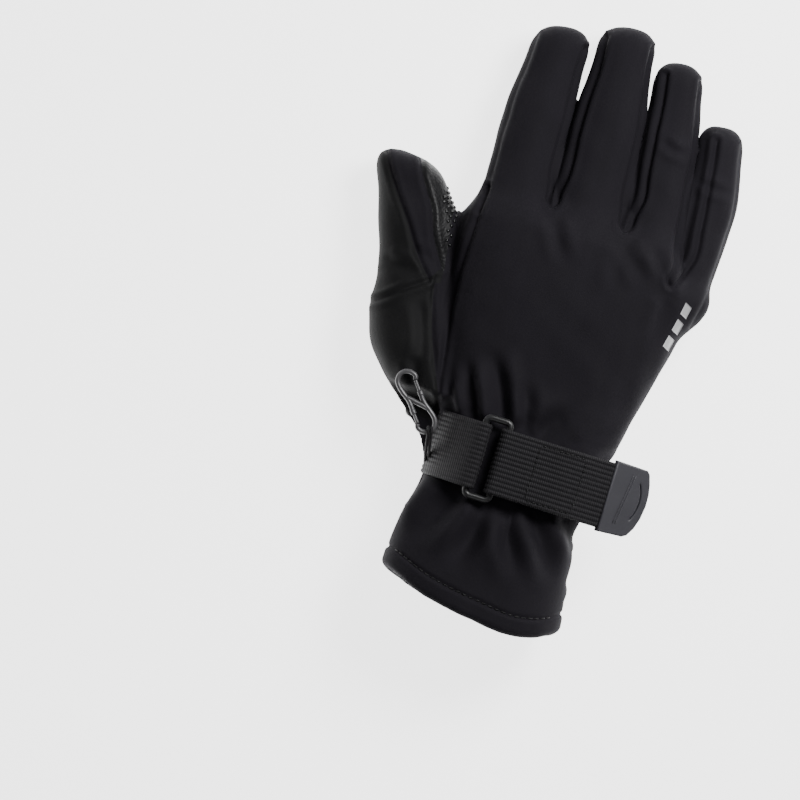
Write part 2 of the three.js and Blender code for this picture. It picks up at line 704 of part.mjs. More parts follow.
function addLimb(glove, limb) {
  const { knuckle, middle } = joints.get(limb.name);
  const pastKnuckle = pastHinge(knuckle, gap / 2, 1, sideReach, sideReach);
  const tipSide = pastHinge(middle, gap / 2, 1, sideReach, sideReach);
  const middleCut = pastHinge(middle, -gap / 2, -1, sideReach, sideReach);
  const base = hingeGroup(glove, `${limb.name}_knuckle`, knuckle.place, bendAxis(knuckle));
  const tip = hingeGroup(base, `${limb.name}_middle`, middle.place, bendAxis(middle));
  const skin = limb === thumb ? looks.suede : looks.softshell;
  const layers = [
    ['shell', limbLayer(limb, 0, shellThickness), skin],
    ['lining', limbLayer(limb, insulationDepth, insulationDepth + fingerLiningThickness), looks.fleece],
  ];
  layers.forEach(([kind, layer, look]) => {
    hang(base, named(`${limb.name}_base_${kind}`, layer.intersect(pastKnuckle).subtract(middleCut), look));
    hang(tip, named(`${limb.name}_tip_${kind}`, layer.intersect(tipSide), look));
  });
  hang(tip, named(`${limb.name}_grip`, gripPatch(limb).intersect(tipSide), looks.silicone));
}

function addStrap(glove) {
  glove.add(named('anchor_webbing', anchorWebbing(), looks.webbing));
  glove.add(named('under_webbing', underWebbing(), looks.webbing));
  glove.add(named('loop_patch', loopPatch(), looks.fastener));
  glove.add(named('wrist_ring', wristRing(), looks.ringPlastic));
  const turn = degToRad(strapTilt);
  const place = new THREE.Vector3(ringRightX, 0, ringZ).applyAxisAngle(up, turn);
  place.y += strapY;
  const tail = hingeGroup(glove, 'strap_peel', place, new THREE.Vector3(Math.sin(turn), -Math.cos(turn), 0));
  hang(tail, named('tail_webbing', tailWebbing(), looks.webbing));
  hang(tail, named('hook_patch', hookPatch(), looks.fastener));
  hang(tail, named('pull_tab', pullTab(), looks.rubber));
}

function addSnapHook(glove) {
  const heading = degToRad(hookHeading);
  const lift = new THREE.Vector3(Math.sin(heading), -Math.cos(heading), 0);
  const swing = hingeGroup(glove, 'hook_swing', hookPoint, lift);
  const lying = new THREE.Matrix4().makeRotationZ(heading).setPosition(hookPoint);
  const placed = (mesh) => {
    mesh.geometry.applyMatrix4(lying);
    return mesh;
  };
  glove.add(placed(named('hanger_loop', hangerLoop(), looks.webbing)));
  hang(swing, placed(named('snap_hook_frame', hookFrame(), looks.plastic)));
  gates.forEach((gate) => {
    const place = new THREE.Vector3(gate.pivot, gate.side * gateY, 0).applyMatrix4(lying);
    const pivot = hingeGroup(swing, `gate_${gate.name}_pivot`, place, new THREE.Vector3(0, 0, 1));
    hang(pivot, placed(named(`snap_hook_gate_${gate.name}`, gateBar(gate), looks.plastic)));
  });
}

function buildGlove() {
  const glove = new THREE.Group();
  glove.name = 'glove';
  glove.add(...handPanels(), ...handPadding());
  limbs.forEach((limb) => addLimb(glove, limb));
  addStrap(glove);
  addSnapHook(glove);
  return glove;
}

// The glove stands on its underside, with the origin under the middle of its outline.
const glove = buildGlove();
const outline = new THREE.Box3().setFromObject(glove, true);
const middle = outline.getCenter(new THREE.Vector3());
glove.position.set(-middle.x, -middle.y, -outline.min.z);
glove.updateMatrixWorld(true);

export default glove;
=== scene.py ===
"""A right-hand ski glove, lying palm down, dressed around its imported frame.

Sizes are in millimetres in the glove's own drawing: +Y towards the fingertips, +Z out of the back of
the hand, +X towards the little finger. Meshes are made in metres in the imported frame.
"""

from __future__ import annotations

import json
import logging
import math
from collections.abc import Callable, Sequence
from dataclasses import dataclass, field
from enum import Enum
from typing import ClassVar

import bpy
import numpy as np
from mathutils import Matrix, Vector
from mathutils.bvhtree import BVHTree

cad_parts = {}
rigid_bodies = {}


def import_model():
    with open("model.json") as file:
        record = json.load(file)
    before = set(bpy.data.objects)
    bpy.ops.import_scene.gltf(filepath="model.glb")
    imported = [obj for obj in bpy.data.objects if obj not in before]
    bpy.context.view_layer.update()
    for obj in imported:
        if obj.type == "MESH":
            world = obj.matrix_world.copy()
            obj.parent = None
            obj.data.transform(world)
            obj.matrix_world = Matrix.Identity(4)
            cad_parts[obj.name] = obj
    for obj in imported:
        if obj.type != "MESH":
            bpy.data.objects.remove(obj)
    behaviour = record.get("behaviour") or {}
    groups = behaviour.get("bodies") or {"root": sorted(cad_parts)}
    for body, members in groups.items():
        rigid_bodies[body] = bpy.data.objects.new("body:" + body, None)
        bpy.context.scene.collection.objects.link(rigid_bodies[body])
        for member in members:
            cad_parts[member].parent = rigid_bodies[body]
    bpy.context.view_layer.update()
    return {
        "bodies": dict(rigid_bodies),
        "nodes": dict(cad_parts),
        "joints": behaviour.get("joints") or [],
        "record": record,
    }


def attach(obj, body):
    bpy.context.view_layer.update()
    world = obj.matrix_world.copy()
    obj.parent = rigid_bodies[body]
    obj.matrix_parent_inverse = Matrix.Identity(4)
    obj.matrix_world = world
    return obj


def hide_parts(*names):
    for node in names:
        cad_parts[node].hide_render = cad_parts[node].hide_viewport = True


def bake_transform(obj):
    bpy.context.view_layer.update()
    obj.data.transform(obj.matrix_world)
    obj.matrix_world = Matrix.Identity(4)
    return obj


LOG = logging.getLogger("ski_glove")
MM = 0.001
Array = np.ndarray
Points = Sequence[tuple[float, float]]


# ---------------------------------------------------------------- shader maths


class Shader:
    """Builds one node material."""

    def __init__(self, name: str) -> None:
        """Makes an empty node material.

        Args:
            name: The material's name.
        """
        self.material = bpy.data.materials.new(name)
        self.material.use_nodes = True
        self.tree = self.material.node_tree
        self.tree.nodes.clear()

    def node(self, kind: str, settings: dict | None = None, inputs: dict | None = None) -> bpy.types.Node:
        """Adds one node.

        Args:
            kind: The node's type name.
            settings: Its properties, set first.
            inputs: Values or links of its sockets, by name or number.

        Returns:
            The new node.
        """
        made = self.tree.nodes.new(kind)
        for key, value in (settings or {}).items():
            setattr(made, key, value)
        for key, value in (inputs or {}).items():
            self.feed(made.inputs[key], value)
        return made

    def feed(self, socket: bpy.types.NodeSocket, value: object) -> None:
        """Links or sets one input socket."""
        if isinstance(value, Value):
            self.tree.links.new(value.socket, socket)
        elif isinstance(value, bpy.types.NodeSocket):
            self.tree.links.new(value, socket)
        else:
            socket.default_value = value

    def value(self, socket: bpy.types.NodeSocket) -> Value:
        """Wraps a socket for use in expressions."""
        return Value(self, socket)

    def coordinates(self) -> bpy.types.NodeSocket:
        """The piece's own coordinates, in metres."""
        return self.node("ShaderNodeTexCoord").outputs["Object"]

    def noise(self, per_metre: float, detail: float = 2.0, roughness: float = 0.5) -> Value:
        """Noise of a given number of features to the metre."""
        made = self.node(
            "ShaderNodeTexNoise",
            {},
            {"Vector": self.coordinates(), "Scale": per_metre, "Detail": detail, "Roughness": roughness},
        )
        return self.value(made.outputs["Fac"])

    def cells(self, per_metre: float, feature: str = "F1") -> Value:
        """Distance inside the cells of a Voronoi pattern."""
        made = self.node(
            "ShaderNodeTexVoronoi",
            {"feature": feature},
            {"Vector": self.coordinates(), "Scale": per_metre},
        )
        return self.value(made.outputs["Distance"])

    def ridges(self, pitch_mm: float, direction: str, distortion: float = 0.0) -> Value:
        """Parallel ridges across one axis, at a pitch in millimetres."""
        turns = 10.0 if direction == "DIAGONAL" else 20.0
        scale = 2 * math.pi / (turns * pitch_mm * MM)
        made = self.node(
            "ShaderNodeTexWave",
            {"wave_type": "BANDS", "bands_direction": direction},
            {"Vector": self.coordinates(), "Scale": scale, "Distortion": distortion, "Detail": 0.0},
        )
        return self.value(made.outputs["Fac"])

    def tint(self, mask: Value, low: Sequence[float], high: Sequence[float]) -> bpy.types.NodeSocket:
        """Mixes two colours by a mask."""
        made = self.node("ShaderNodeMix", {"data_type": "RGBA"}, {"Factor": mask})
        made.inputs["A"].default_value = (*low, 1.0)
        made.inputs["B"].default_value = (*high, 1.0)
        return made.outputs["Result"]

    def bump(self, height: Value, depth_mm: float) -> bpy.types.NodeSocket:
        """A normal from a height of the given depth."""
        made = self.node("ShaderNodeBump", {}, {"Height": height, "Distance": depth_mm * MM, "Strength": 1.0})
        return made.outputs["Normal"]

    def finish(self, inputs: dict) -> bpy.types.Material:
        """Adds the surface shader and the output.

        Args:
            inputs: Values or links of the Principled shader's sockets.

        Returns:
            The finished material.
        """
        surface = self.node("ShaderNodeBsdfPrincipled", {}, inputs)
        self.node("ShaderNodeOutputMaterial", {}, {"Surface": surface.outputs["BSDF"]})
        return self.material


@dataclass(frozen=True)
class Value:
    """A number socket that takes part in Python expressions."""

    shader: Shader
    socket: bpy.types.NodeSocket

    def _math(self, operation: str, first: object, second: object) -> Value:
        """Adds one Math node."""
        made = self.shader.node("ShaderNodeMath", {"operation": operation}, {0: first, 1: second})
        return Value(self.shader, made.outputs[0])

    def __add__(self, other: object) -> Value:
        """self + other."""
        return self._math("ADD", self, other)

    __radd__ = __add__

    def __mul__(self, other: object) -> Value:
        """self * other."""
        return self._math("MULTIPLY", self, other)

    __rmul__ = __mul__

    def __sub__(self, other: object) -> Value:
        """self - other."""
        return self._math("SUBTRACT", self, other)

    def __rsub__(self, other: object) -> Value:
        """other - self."""
        return self._math("SUBTRACT", other, self)


# ---------------------------------------------------------------- finishes


@dataclass(frozen=True)
class Softshell:
    """Matt stretch shell cloth with a fine brushed face."""

    name: str = "softshell"
    slot: str = "softshell"
    low: tuple[float, float, float] = (0.0052, 0.0046, 0.0064)
    high: tuple[float, float, float] = (0.0155, 0.0137, 0.0182)
    roughness: float = 0.82
    sheen: float = 0.02

    def material(self) -> bpy.types.Material:
        """Makes the material."""
        shader = Shader(self.name)
        nap = shader.noise(1500, 3.0, 0.7)
        cloud = shader.noise(38, 2.0)
        knit = shader.noise(4200, 1.0)
        normal = shader.bump(nap * 0.7 + knit * 0.3, 0.16)
        return shader.finish({
            "Base Color": shader.tint(nap * 0.55 + cloud * 0.45, self.low, self.high),
            "Roughness": self.roughness + (cloud - 0.5) * 0.1,
            "Sheen Weight": self.sheen,
            "Sheen Roughness": 0.45,
            "Sheen Tint": (0.78, 0.74, 0.86, 1.0),
            "Specular IOR Level": 0.14,
            "Normal": normal,
        })


@dataclass(frozen=True)
class Suede:
    """Dark synthetic suede."""

    name: str = "suede"
    slot: str = "suede"
    low: tuple[float, float, float] = (0.0030, 0.0030, 0.0034)
    high: tuple[float, float, float] = (0.0058, 0.0058, 0.0064)

    def material(self) -> bpy.types.Material:
        """Makes the material."""
        shader = Shader(self.name)
        nap = shader.noise(900, 4.0, 0.65)
        brushed = shader.noise(60, 3.0)
        return shader.finish({
            "Base Color": shader.tint(nap * 0.4 + brushed * 0.6, self.low, self.high),
            "Roughness": 0.74 + (brushed - 0.5) * 0.16,
            "Sheen Weight": 0.02,
            "Specular IOR Level": 0.2,
            "Normal": shader.bump(nap, 0.13),
        })


@dataclass(frozen=True)
class Leather:
    """Supple pebbled leather with a soft gloss."""

    name: str = "leather"
    slot: str = "leather"
    low: tuple[float, float, float] = (0.0040, 0.0040, 0.0046)
    high: tuple[float, float, float] = (0.0085, 0.0083, 0.0092)
    grain_per_metre: float = 950.0

    def material(self) -> bpy.types.Material:
        """Makes the material."""
        shader = Shader(self.name)
        pebbles = shader.cells(self.grain_per_metre, "SMOOTH_F1")
        creases = shader.cells(self.grain_per_metre * 0.42, "DISTANCE_TO_EDGE")
        worn = shader.noise(70, 3.0)
        height = (1.0 - pebbles) * 0.6 + creases * 0.5 + shader.noise(2600, 2.0) * 0.2
        return shader.finish({
            "Base Color": shader.tint(worn, self.low, self.high),
            "Roughness": 0.42 + pebbles * 0.16 + (worn - 0.5) * 0.14,
            "Specular IOR Level": 0.26,
            "Normal": shader.bump(height, 0.30),
        })


@dataclass(frozen=True)
class Webbing:
    """Ribbed nylon webbing with a fine diagonal weave."""

    name: str = "webbing"
    slot: str = "webbing"
    low: tuple[float, float, float] = (0.0050, 0.0048, 0.0056)
    high: tuple[float, float, float] = (0.0260, 0.0248, 0.0280)
    bead_pitch: float = 0.9

    def material(self) -> bpy.types.Material:
        """Makes the material."""
        shader = Shader(self.name)
        bead_relief_and_highlight = shader.ridges(self.bead_pitch, "X", 0.35)
        fuzz = shader.noise(2200, 2.0)
        worn = shader.noise(120, 2.0)
        return shader.finish({
            # The beads drive both the bump and the base colour: their tops are painted lighter, a painted
            # highlight along the weave.
            "Base Color": shader.tint(bead_relief_and_highlight * 0.6 + fuzz * 0.25 + worn * 0.15, self.low, self.high),
            "Roughness": 0.52 + fuzz * 0.16,
            "Sheen Weight": 0.03,
            "Specular IOR Level": 0.15,
            "Normal": shader.bump(bead_relief_and_highlight * 0.8 + fuzz * 0.2, 0.16),
        })


@dataclass(frozen=True)
class Moulded:
    """Moulded plastic or rubber with a faint sparked texture."""

    name: str
    slot: str
    colour: tuple[float, float, float]
    roughness: float
    metallic: float = 0.0
    texture_mm: float = 0.03

    def material(self) -> bpy.types.Material:
        """Makes the material."""
        shader = Shader(self.name)
        spark = shader.noise(2600, 2.0)
        smudge = shader.noise(90, 3.0)
        darker = tuple(channel * 0.8 for channel in self.colour)
        return shader.finish({
            "Base Color": shader.tint(smudge, darker, self.colour),
            "Roughness": self.roughness + (smudge - 0.5) * 0.14,
            "Metallic": self.metallic,
            "Specular IOR Level": 0.5,
            "Normal": shader.bump(spark, self.texture_mm),
        })


@dataclass(frozen=True)
class Pile:
    """Fleece, wadding or touch-fastener pile."""

    name: str
    slot: str
    low: tuple[float, float, float]
    high: tuple[float, float, float]
    tufts_per_metre: float = 900.0
    depth_mm: float = 0.5

    def material(self) -> bpy.types.Material:
        """Makes the material."""
        shader = Shader(self.name)
        tufts = shader.cells(self.tufts_per_metre)
        fluff = shader.noise(self.tufts_per_metre * 2.2, 3.0, 0.7)
        return shader.finish({
            "Base Color": shader.tint(fluff, self.low, self.high),
            "Roughness": 0.95 - fluff * 0.1,
            "Sheen Weight": 0.3,
            "Specular IOR Level": 0.15,
            "Normal": shader.bump(tufts * 0.6 + fluff * 0.6, self.depth_mm),
        })


@dataclass(frozen=True)
class Thread:
    """Bonded sewing thread, twisted."""

    name: str = "thread"
    slot: str = "webbing"
    colour: tuple[float, float, float] = (0.0060, 0.0058, 0.0068)

    def material(self) -> bpy.types.Material:
        """Makes the material."""
        shader = Shader(self.name)
        twist = shader.ridges(0.5, "DIAGONAL")
        darker = tuple(channel * 0.45 for channel in self.colour)
        return shader.finish({
            # The twist's grooves are painted darker than its crests: painted shade between the plies, on top
            # of its bump.
            "Base Color": shader.tint(twist, darker, self.colour),
            "Roughness": 0.5,
            "Specular IOR Level": 0.45,
            "Normal": shader.bump(twist, 0.06),
        })


class Finish(Enum):
    """The finishes of this glove."""

    SOFTSHELL = Softshell()
    SUEDE = Suede()
    LEATHER = Leather()
    WEBBING = Webbing()
    THREAD = Thread()
    FLEECE = Pile("fleece", "fleece", (0.012, 0.012, 0.014), (0.030, 0.030, 0.034))
    FASTENER = Pile("fastener", "fastener", (0.008, 0.008, 0.009), (0.022, 0.022, 0.024), 1400.0, 0.35)
    RUBBER = Moulded("tab_rubber", "tab_rubber", (0.042, 0.041, 0.050), 0.50)
    RING = Moulded("ring_plastic", "ring_plastic", (0.013, 0.013, 0.014), 0.36)
    HOOK = Moulded("hook_plastic", "hook_plastic", (0.115, 0.113, 0.118), 0.34, 0.35, 0.02)
    MARK = Moulded("reflective_mark", "tab_rubber", (0.42, 0.42, 0.43), 0.45, 0.0, 0.05)
    SILICONE = Moulded("grip_silicone", "grip_silicone", (0.009, 0.009, 0.010), 0.22, 0.0, 0.01)

    def material(self) -> bpy.types.Material:
        """The finish's one shared material."""
        found = bpy.data.materials.get(f"made_{self.value.name}")
        if found is None:
            found = self.value.material()
            found.name = f"made_{self.value.name}"
        return found


# ---------------------------------------------------------------- numbers along lines


def glide(where: Array, knots: Sequence[float], values: Sequence[float]) -> Array:
    """A smooth curve through (knot, value) pairs, level beyond its ends.

    Args:
        where: Places to read it at.
        knots: Increasing places of the given values.
        values: The values there.

    Returns:
        The curve's values.
    """
    knots = np.asarray(knots, float)
    values = np.asarray(values, float)
    slopes = np.gradient(values, knots)
    where = np.clip(where, knots[0], knots[-1])
    index = np.clip(np.searchsorted(knots, where) - 1, 0, len(knots) - 2)
    span = knots[index + 1] - knots[index]
    t = (where - knots[index]) / span
    rise = values[index + 1] - values[index]
    start = values[index] + slopes[index] * span * t * (1 - t) ** 2
    finish = (3 * t**2 - 2 * t**3) * rise - slopes[index + 1] * span * t**2 * (1 - t)
    return start + finish


def step(low: float, high: float, where: Array) -> Array:
    """A smooth rise from 0 at low to 1 at high."""
    t = np.clip((where - low) / (high - low), 0, 1)
    return t * t * (3 - 2 * t)


def soft_min(first: Array, second: Array, reach: float | Array) -> Array:
    """The lower of two fields, rounded where they meet."""
    share = np.clip(0.5 + 0.5 * (second - first) / reach, 0, 1)
    return second * (1 - share) + first * share - reach * share * (1 - share)


def line_distance(plan: Array, line: Array) -> tuple[Array, Array, Array]:
    """How far points in plan lie from a line of points.

    Args:
        plan: Points, one to a row.
        line: The line's points, one to a row.

    Returns:
        The distance to the nearest stretch, how far along the line that is, and the side: 1 on the
        line's left and -1 on its right.
    """
    best = np.full(len(plan), 1e9)
    along = np.zeros(len(plan))
    left = np.ones(len(plan))
    done = 0.0
    for start, finish in zip(line[:-1], line[1:]):
        run = finish - start
        length = math.hypot(*run)
        share = np.clip(((plan - start) @ run) / length**2, 0, 1)
        gap = np.hypot(*(plan - start - share[:, None] * run).T)
        nearer = gap < best
        best = np.where(nearer, gap, best)
        along = np.where(nearer, done + share * length, along)
        turn = run[0] * (plan[:, 1] - start[1]) - run[1] * (plan[:, 0] - start[0])
        left = np.where(nearer, np.sign(turn), left)
        done += length
    return best, along, left


def smooth_line(points: Points, spacing: float = 1.5) -> Array:
    """A smooth line through points in plan, evenly spaced."""
    corners = np.asarray(points, float)
    lengths = np.r_[0, np.cumsum(np.hypot(*np.diff(corners, axis=0).T))]
    where = np.linspace(0, lengths[-1], max(int(lengths[-1] / spacing), 2) + 1)
    return np.c_[glide(where, lengths, corners[:, 0]), glide(where, lengths, corners[:, 1])]


def inside_outline(plan: Array, outline: Array) -> Array:
    """Signed distance into a closed outline: positive inside.

    Args:
        plan: Points, one to a row.
        outline: The outline's corners, one to a row.

    Returns:
        One distance to a point.
    """
    ring = np.vstack([outline, outline[:1]])
    gap, _, _ = line_distance(plan, ring)
    odd = np.zeros(len(plan), bool)
    x, y = plan.T
    for (x0, y0), (x1, y1) in zip(ring[:-1], ring[1:]):
        if y0 != y1:
            crosses = (y0 > y) != (y1 > y)
            odd ^= crosses & (x < (x1 - x0) * (y - y0) / (y1 - y0) + x0)
    return np.where(odd, gap, -gap)


class Waves:
    """Gentle seeded unevenness, made of plane waves."""

    def __init__(self, seed: int, wavelength: float, count: int = 18) -> None:
        """Draws the waves.

        Args:
            seed: The random seed.
            wavelength: The middle wavelength in millimetres.
            count: How many waves are summed.
        """
        draw = np.random.default_rng(seed)
        aims = draw.normal(size=(count, 3))
        aims /= np.linalg.norm(aims, axis=1)[:, None]
        self.aims = aims * (2 * np.pi / (wavelength * draw.uniform(0.6, 1.6, count)))[:, None]
        self.phases = draw.uniform(0, 2 * np.pi, count)

    def at(self, points: Array) -> Array:
        """The waves' height at points, about -1 to 1."""
        return np.sin(points @ self.aims.T + self.phases).sum(1) / math.sqrt(len(self.phases))


# ---------------------------------------------------------------- the soft form


@dataclass
class Limb:
    """A finger or the thumb: a padded tube along a slightly bowed line."""

    name: str
    root: tuple[float, float]
    length: float
    lean: float
    bow: float
    middle_at: float
    widths: tuple[float, float, float]
    heights: tuple[float, float, float]
    underside: tuple[float, float, float, float]
    tip_round: float = 14.0
    start: float = -26.0
    start_round: float = 16.0
    tip_skew: float = 0.0
    back_seams: tuple[float, float] = (-0.84, 0.86)
    spots: tuple[float, ...] = (0.0, 0.27, 0.55, 0.8, 1.0)

    def axes(self) -> tuple[Array, Array]:
        """The directions along and across the limb in plan."""
        angle = math.radians(self.lean)
        return np.array([-math.sin(angle), math.cos(angle)]), np.array([math.cos(angle), math.sin(angle)])

    def profile(self, share: Array) -> tuple[Array, Array, Array, Array]:
        """Side shift, middle height, half width and half height at shares of the length."""
        half_width, half_height = (
            glide(share, self.spots, [root, (root + middle) / 2, middle, tip, tip]) / 2
            for root, middle, tip in (self.widths, self.heights)
        )
        bottom = glide(share, self.spots, [*self.underside, self.underside[-1]])
        shift = self.bow * np.sin(np.pi * np.clip(share, -0.3, 1))
        return shift, bottom + half_height, half_width, half_height

    def local(self, points: Array) -> tuple[Array, Array, Array, Array]:
        """Along (mm), and the sideways and upward offsets in half sizes, with the smaller half size."""
        along_axis, across_axis = self.axes()
        offset = points[:, :2] - np.asarray(self.root)
        along = offset @ along_axis
        shift, middle, half_width, half_height = self.profile(along / self.length)
        side = (offset @ across_axis - shift) / half_width
        rise = (points[:, 2] - middle) / half_height
        return along, side, rise, np.minimum(half_width, half_height)

    def field(self, points: Array) -> Array:
        """Below zero inside the limb."""
        along, side, rise, size = self.local(points)
        power = 2.25
        across = (np.abs(side) ** power + np.abs(rise) ** power) ** (1 / power)
        leading = along + self.tip_skew * side * size
        past = np.clip((leading - self.length + self.tip_round) / self.tip_round, 0, None)
        before = np.clip((self.start + self.start_round - along) / self.start_round, 0, None)
        whole = (across**2.7 + past**2.7 + before**2.7) ** (1 / 2.7)
        return (whole - 1) * size

    def spot(self, along: float, side: float) -> tuple[float, float]:
        """A place in plan: along in millimetres, side in half widths."""
        along_axis, across_axis = self.axes()
        shift, _, half_width, _ = self.profile(np.array([along / self.length]))
        place = np.asarray(self.root) + along_axis * along + across_axis * (shift[0] + side * half_width[0])
        return float(place[0]), float(place[1])

    def edge(self, side: float, start: float, finish: float) -> list[tuple[float, float]]:
        """Places along one edge of the limb, from start to finish."""
        return [self.spot(along, side) for along in np.linspace(start, finish, 6)]


FINGER_UNDERSIDE = (7.0, 3.8, 2.0, 1.6)
INDEX = Limb("index", (-35.3, 106), 85, -1.6, -0.9, 0.41, (31.8, 29.8, 26.2), (28.5, 26.5, 24),
             FINGER_UNDERSIDE, tip_skew=-0.12, back_seams=(-0.88, 0.84))
MIDDLE = Limb("middle", (-1.8, 107), 91.5, 1.5, -0.2, 0.49, (34.4, 31.8, 26.2), (29.5, 27, 24.6),
              FINGER_UNDERSIDE, tip_skew=-0.08, back_seams=(-0.78, 0.87))
RING = Limb("ring", (28.7, 106), 83.2, 4.8, 0.9, 0.46, (26.2, 25.6, 22.6), (28, 26, 23.4),
            FINGER_UNDERSIDE, back_seams=(-0.60, 0.86))
LITTLE = Limb("little", (51.4, 92), 74.0, 3.4, 1.7, 0.42, (17.0, 24.4, 21.0), (25.5, 24, 22),
              FINGER_UNDERSIDE, start=-14.0, start_round=14.0, back_seams=(-0.22, 0.9))
THUMB = Limb("thumb", (-70.3, 58), 62.0, 15.2, 2.4, 0.52, (30.5, 33.6, 31.6), (30, 29.6, 27),
             (2.2, 1.9, 1.7, 1.7), tip_round=15.0, start=-30.0, tip_skew=0.42)
THENAR = Limb("thenar", (-41, 0), 72, 27.5, -4.5, 0.5, (17, 31, 31.5), (36, 37, 30.5), (2.5, 0.8, 1.2, 2.0),
              tip_round=16.0, start=-14.0)
FINGERS = (INDEX, MIDDLE, RING, LITTLE)
LIMBS = (*FINGERS, THUMB)


@dataclass
class GloveForm:
    """The whole soft form as one field, from the hem to the fingertips."""

    sections: tuple[tuple[float, ...], ...] = (
        (-104, -50.0, 34.0, -0.8, 53.0),
        (-80, -50.0, 34.0, -0.8, 53.0),
        (-62, -51.0, 33.2, -0.5, 51.0),
        (-42, -49.0, 31.6, -0.4, 47.5),
        (-24, -44.8, 30.0, 0.0, 45.0),
        (-6, -43.5, 31.5, 0.0, 44.6),
        (12, -45.5, 38.0, -0.5, 44.8),
        (32, -49.5, 43.2, -0.8, 45.4),
        (52, -52.0, 48.0, -0.8, 45.6),
        (72, -53.8, 53.4, -0.4, 44.8),
        (90, -55.6, 57.6, 1.8, 42.8),
        (116, -53.2, 60.0, 6.0, 37.6),
    )
    wall: float = 4.6
    cavity_end: float = 62.0
    strap_y: float = -6.8
    strap_tilt: float = -2.3
    strap_half: float = 15.0

    def palm(self, points: Array) -> Array:
        """Below zero inside the palm and cuff."""
        x, y, z = points.T
        knots = [row[0] for row in self.sections]
        left, right, bottom, top = (glide(y, knots, [row[i] for row in self.sections]) for i in range(1, 5))
        middle_x, half_width = (left + right) / 2, (right - left) / 2
        middle_z, half_height = (bottom + top) / 2, (top - bottom) / 2
        power = 2.7
        side = np.abs(x - middle_x) / half_width
        rise = np.abs(z - middle_z) / half_height
        across = (side**power + rise**power) ** (1 / power)
        finish = 97 - 15 * step(35, 50, x)
        past = np.clip((y - finish) / 15, 0, None)
        whole = (across**2.2 + past**2.2) ** (1 / 2.2)
        return (whole - 1) * np.minimum(half_width, half_height)

    def hem(self, points: Array) -> Array:
        """How far past the hem a point is: the palm side of the cuff is the longer one."""
        x, y, z = points.T
        back = glide(x, (-54, -51, -30, -5, 17, 30, 36), (-62, -63, -71.5, -77, -79, -75, -71))
        palm = glide(x, (-56, -53, -33, -10, 19, 30, 36), (-63.5, -64.5, -72.5, -78, -80.5, -76.5, -72.5))
        share = step(8, 42, z)
        return palm * (1 - share) + back * share - y

    def strap_height(self, across: Array) -> Array:
        """The height of the back of the wrist under the strap, at places along the strap."""
        return glide(across, (-46, -42, -38, -30, -20, -8, 6, 16, 25, 31, 35, 38),
                     (22, 31, 36.5, 41.2, 43.8, 44.8, 44.6, 43.4, 40.4, 35.5, 29.5, 22))

    def strap_frame(self, points: Array) -> tuple[Array, Array]:
        """Places along and across the strap."""
        angle = math.radians(self.strap_tilt)
        x, y = points[:, 0], points[:, 1] - self.strap_y
        return x * math.cos(angle) + y * math.sin(angle), y * math.cos(angle) - x * math.sin(angle)

    def outer(self, points: Array) -> Array:
        """Below zero inside the glove's outer surface, with no cavity."""
        palm = self.palm(points)
        body = soft_min(palm, THENAR.field(points), 9.0)
        body = soft_min(body, THUMB.field(points), 7.0)
        fingers = INDEX.field(points)
        joined = 0.8 + 3.4 * step(150, 126, points[:, 1])
        for limb in FINGERS[1:]:
            fingers = soft_min(fingers, limb.field(points), joined)
        body = soft_min(body, fingers, 8.0)
        along, across = self.strap_frame(points)
        belt = step(self.strap_half + 7, self.strap_half - 1, np.abs(across))
        pressed = points[:, 2] - self.strap_height(along)
        above = step(20, 26, points[:, 2])
        return np.where(belt * above > 0, body + belt * above * (np.maximum(body, pressed) - body), body)

    def field(self, points: Array) -> Array:
        """Below zero inside the cloth: the outer form without the hand's space, cut at the hem."""
        outer = self.outer(points)
        space = np.maximum(self.palm(points) + self.wall, points[:, 1] - self.cavity_end)
        cloth = -soft_min(-outer, space, 0.8)
        return -soft_min(-cloth, -self.hem(points), 2.4)


FORM = GloveForm()


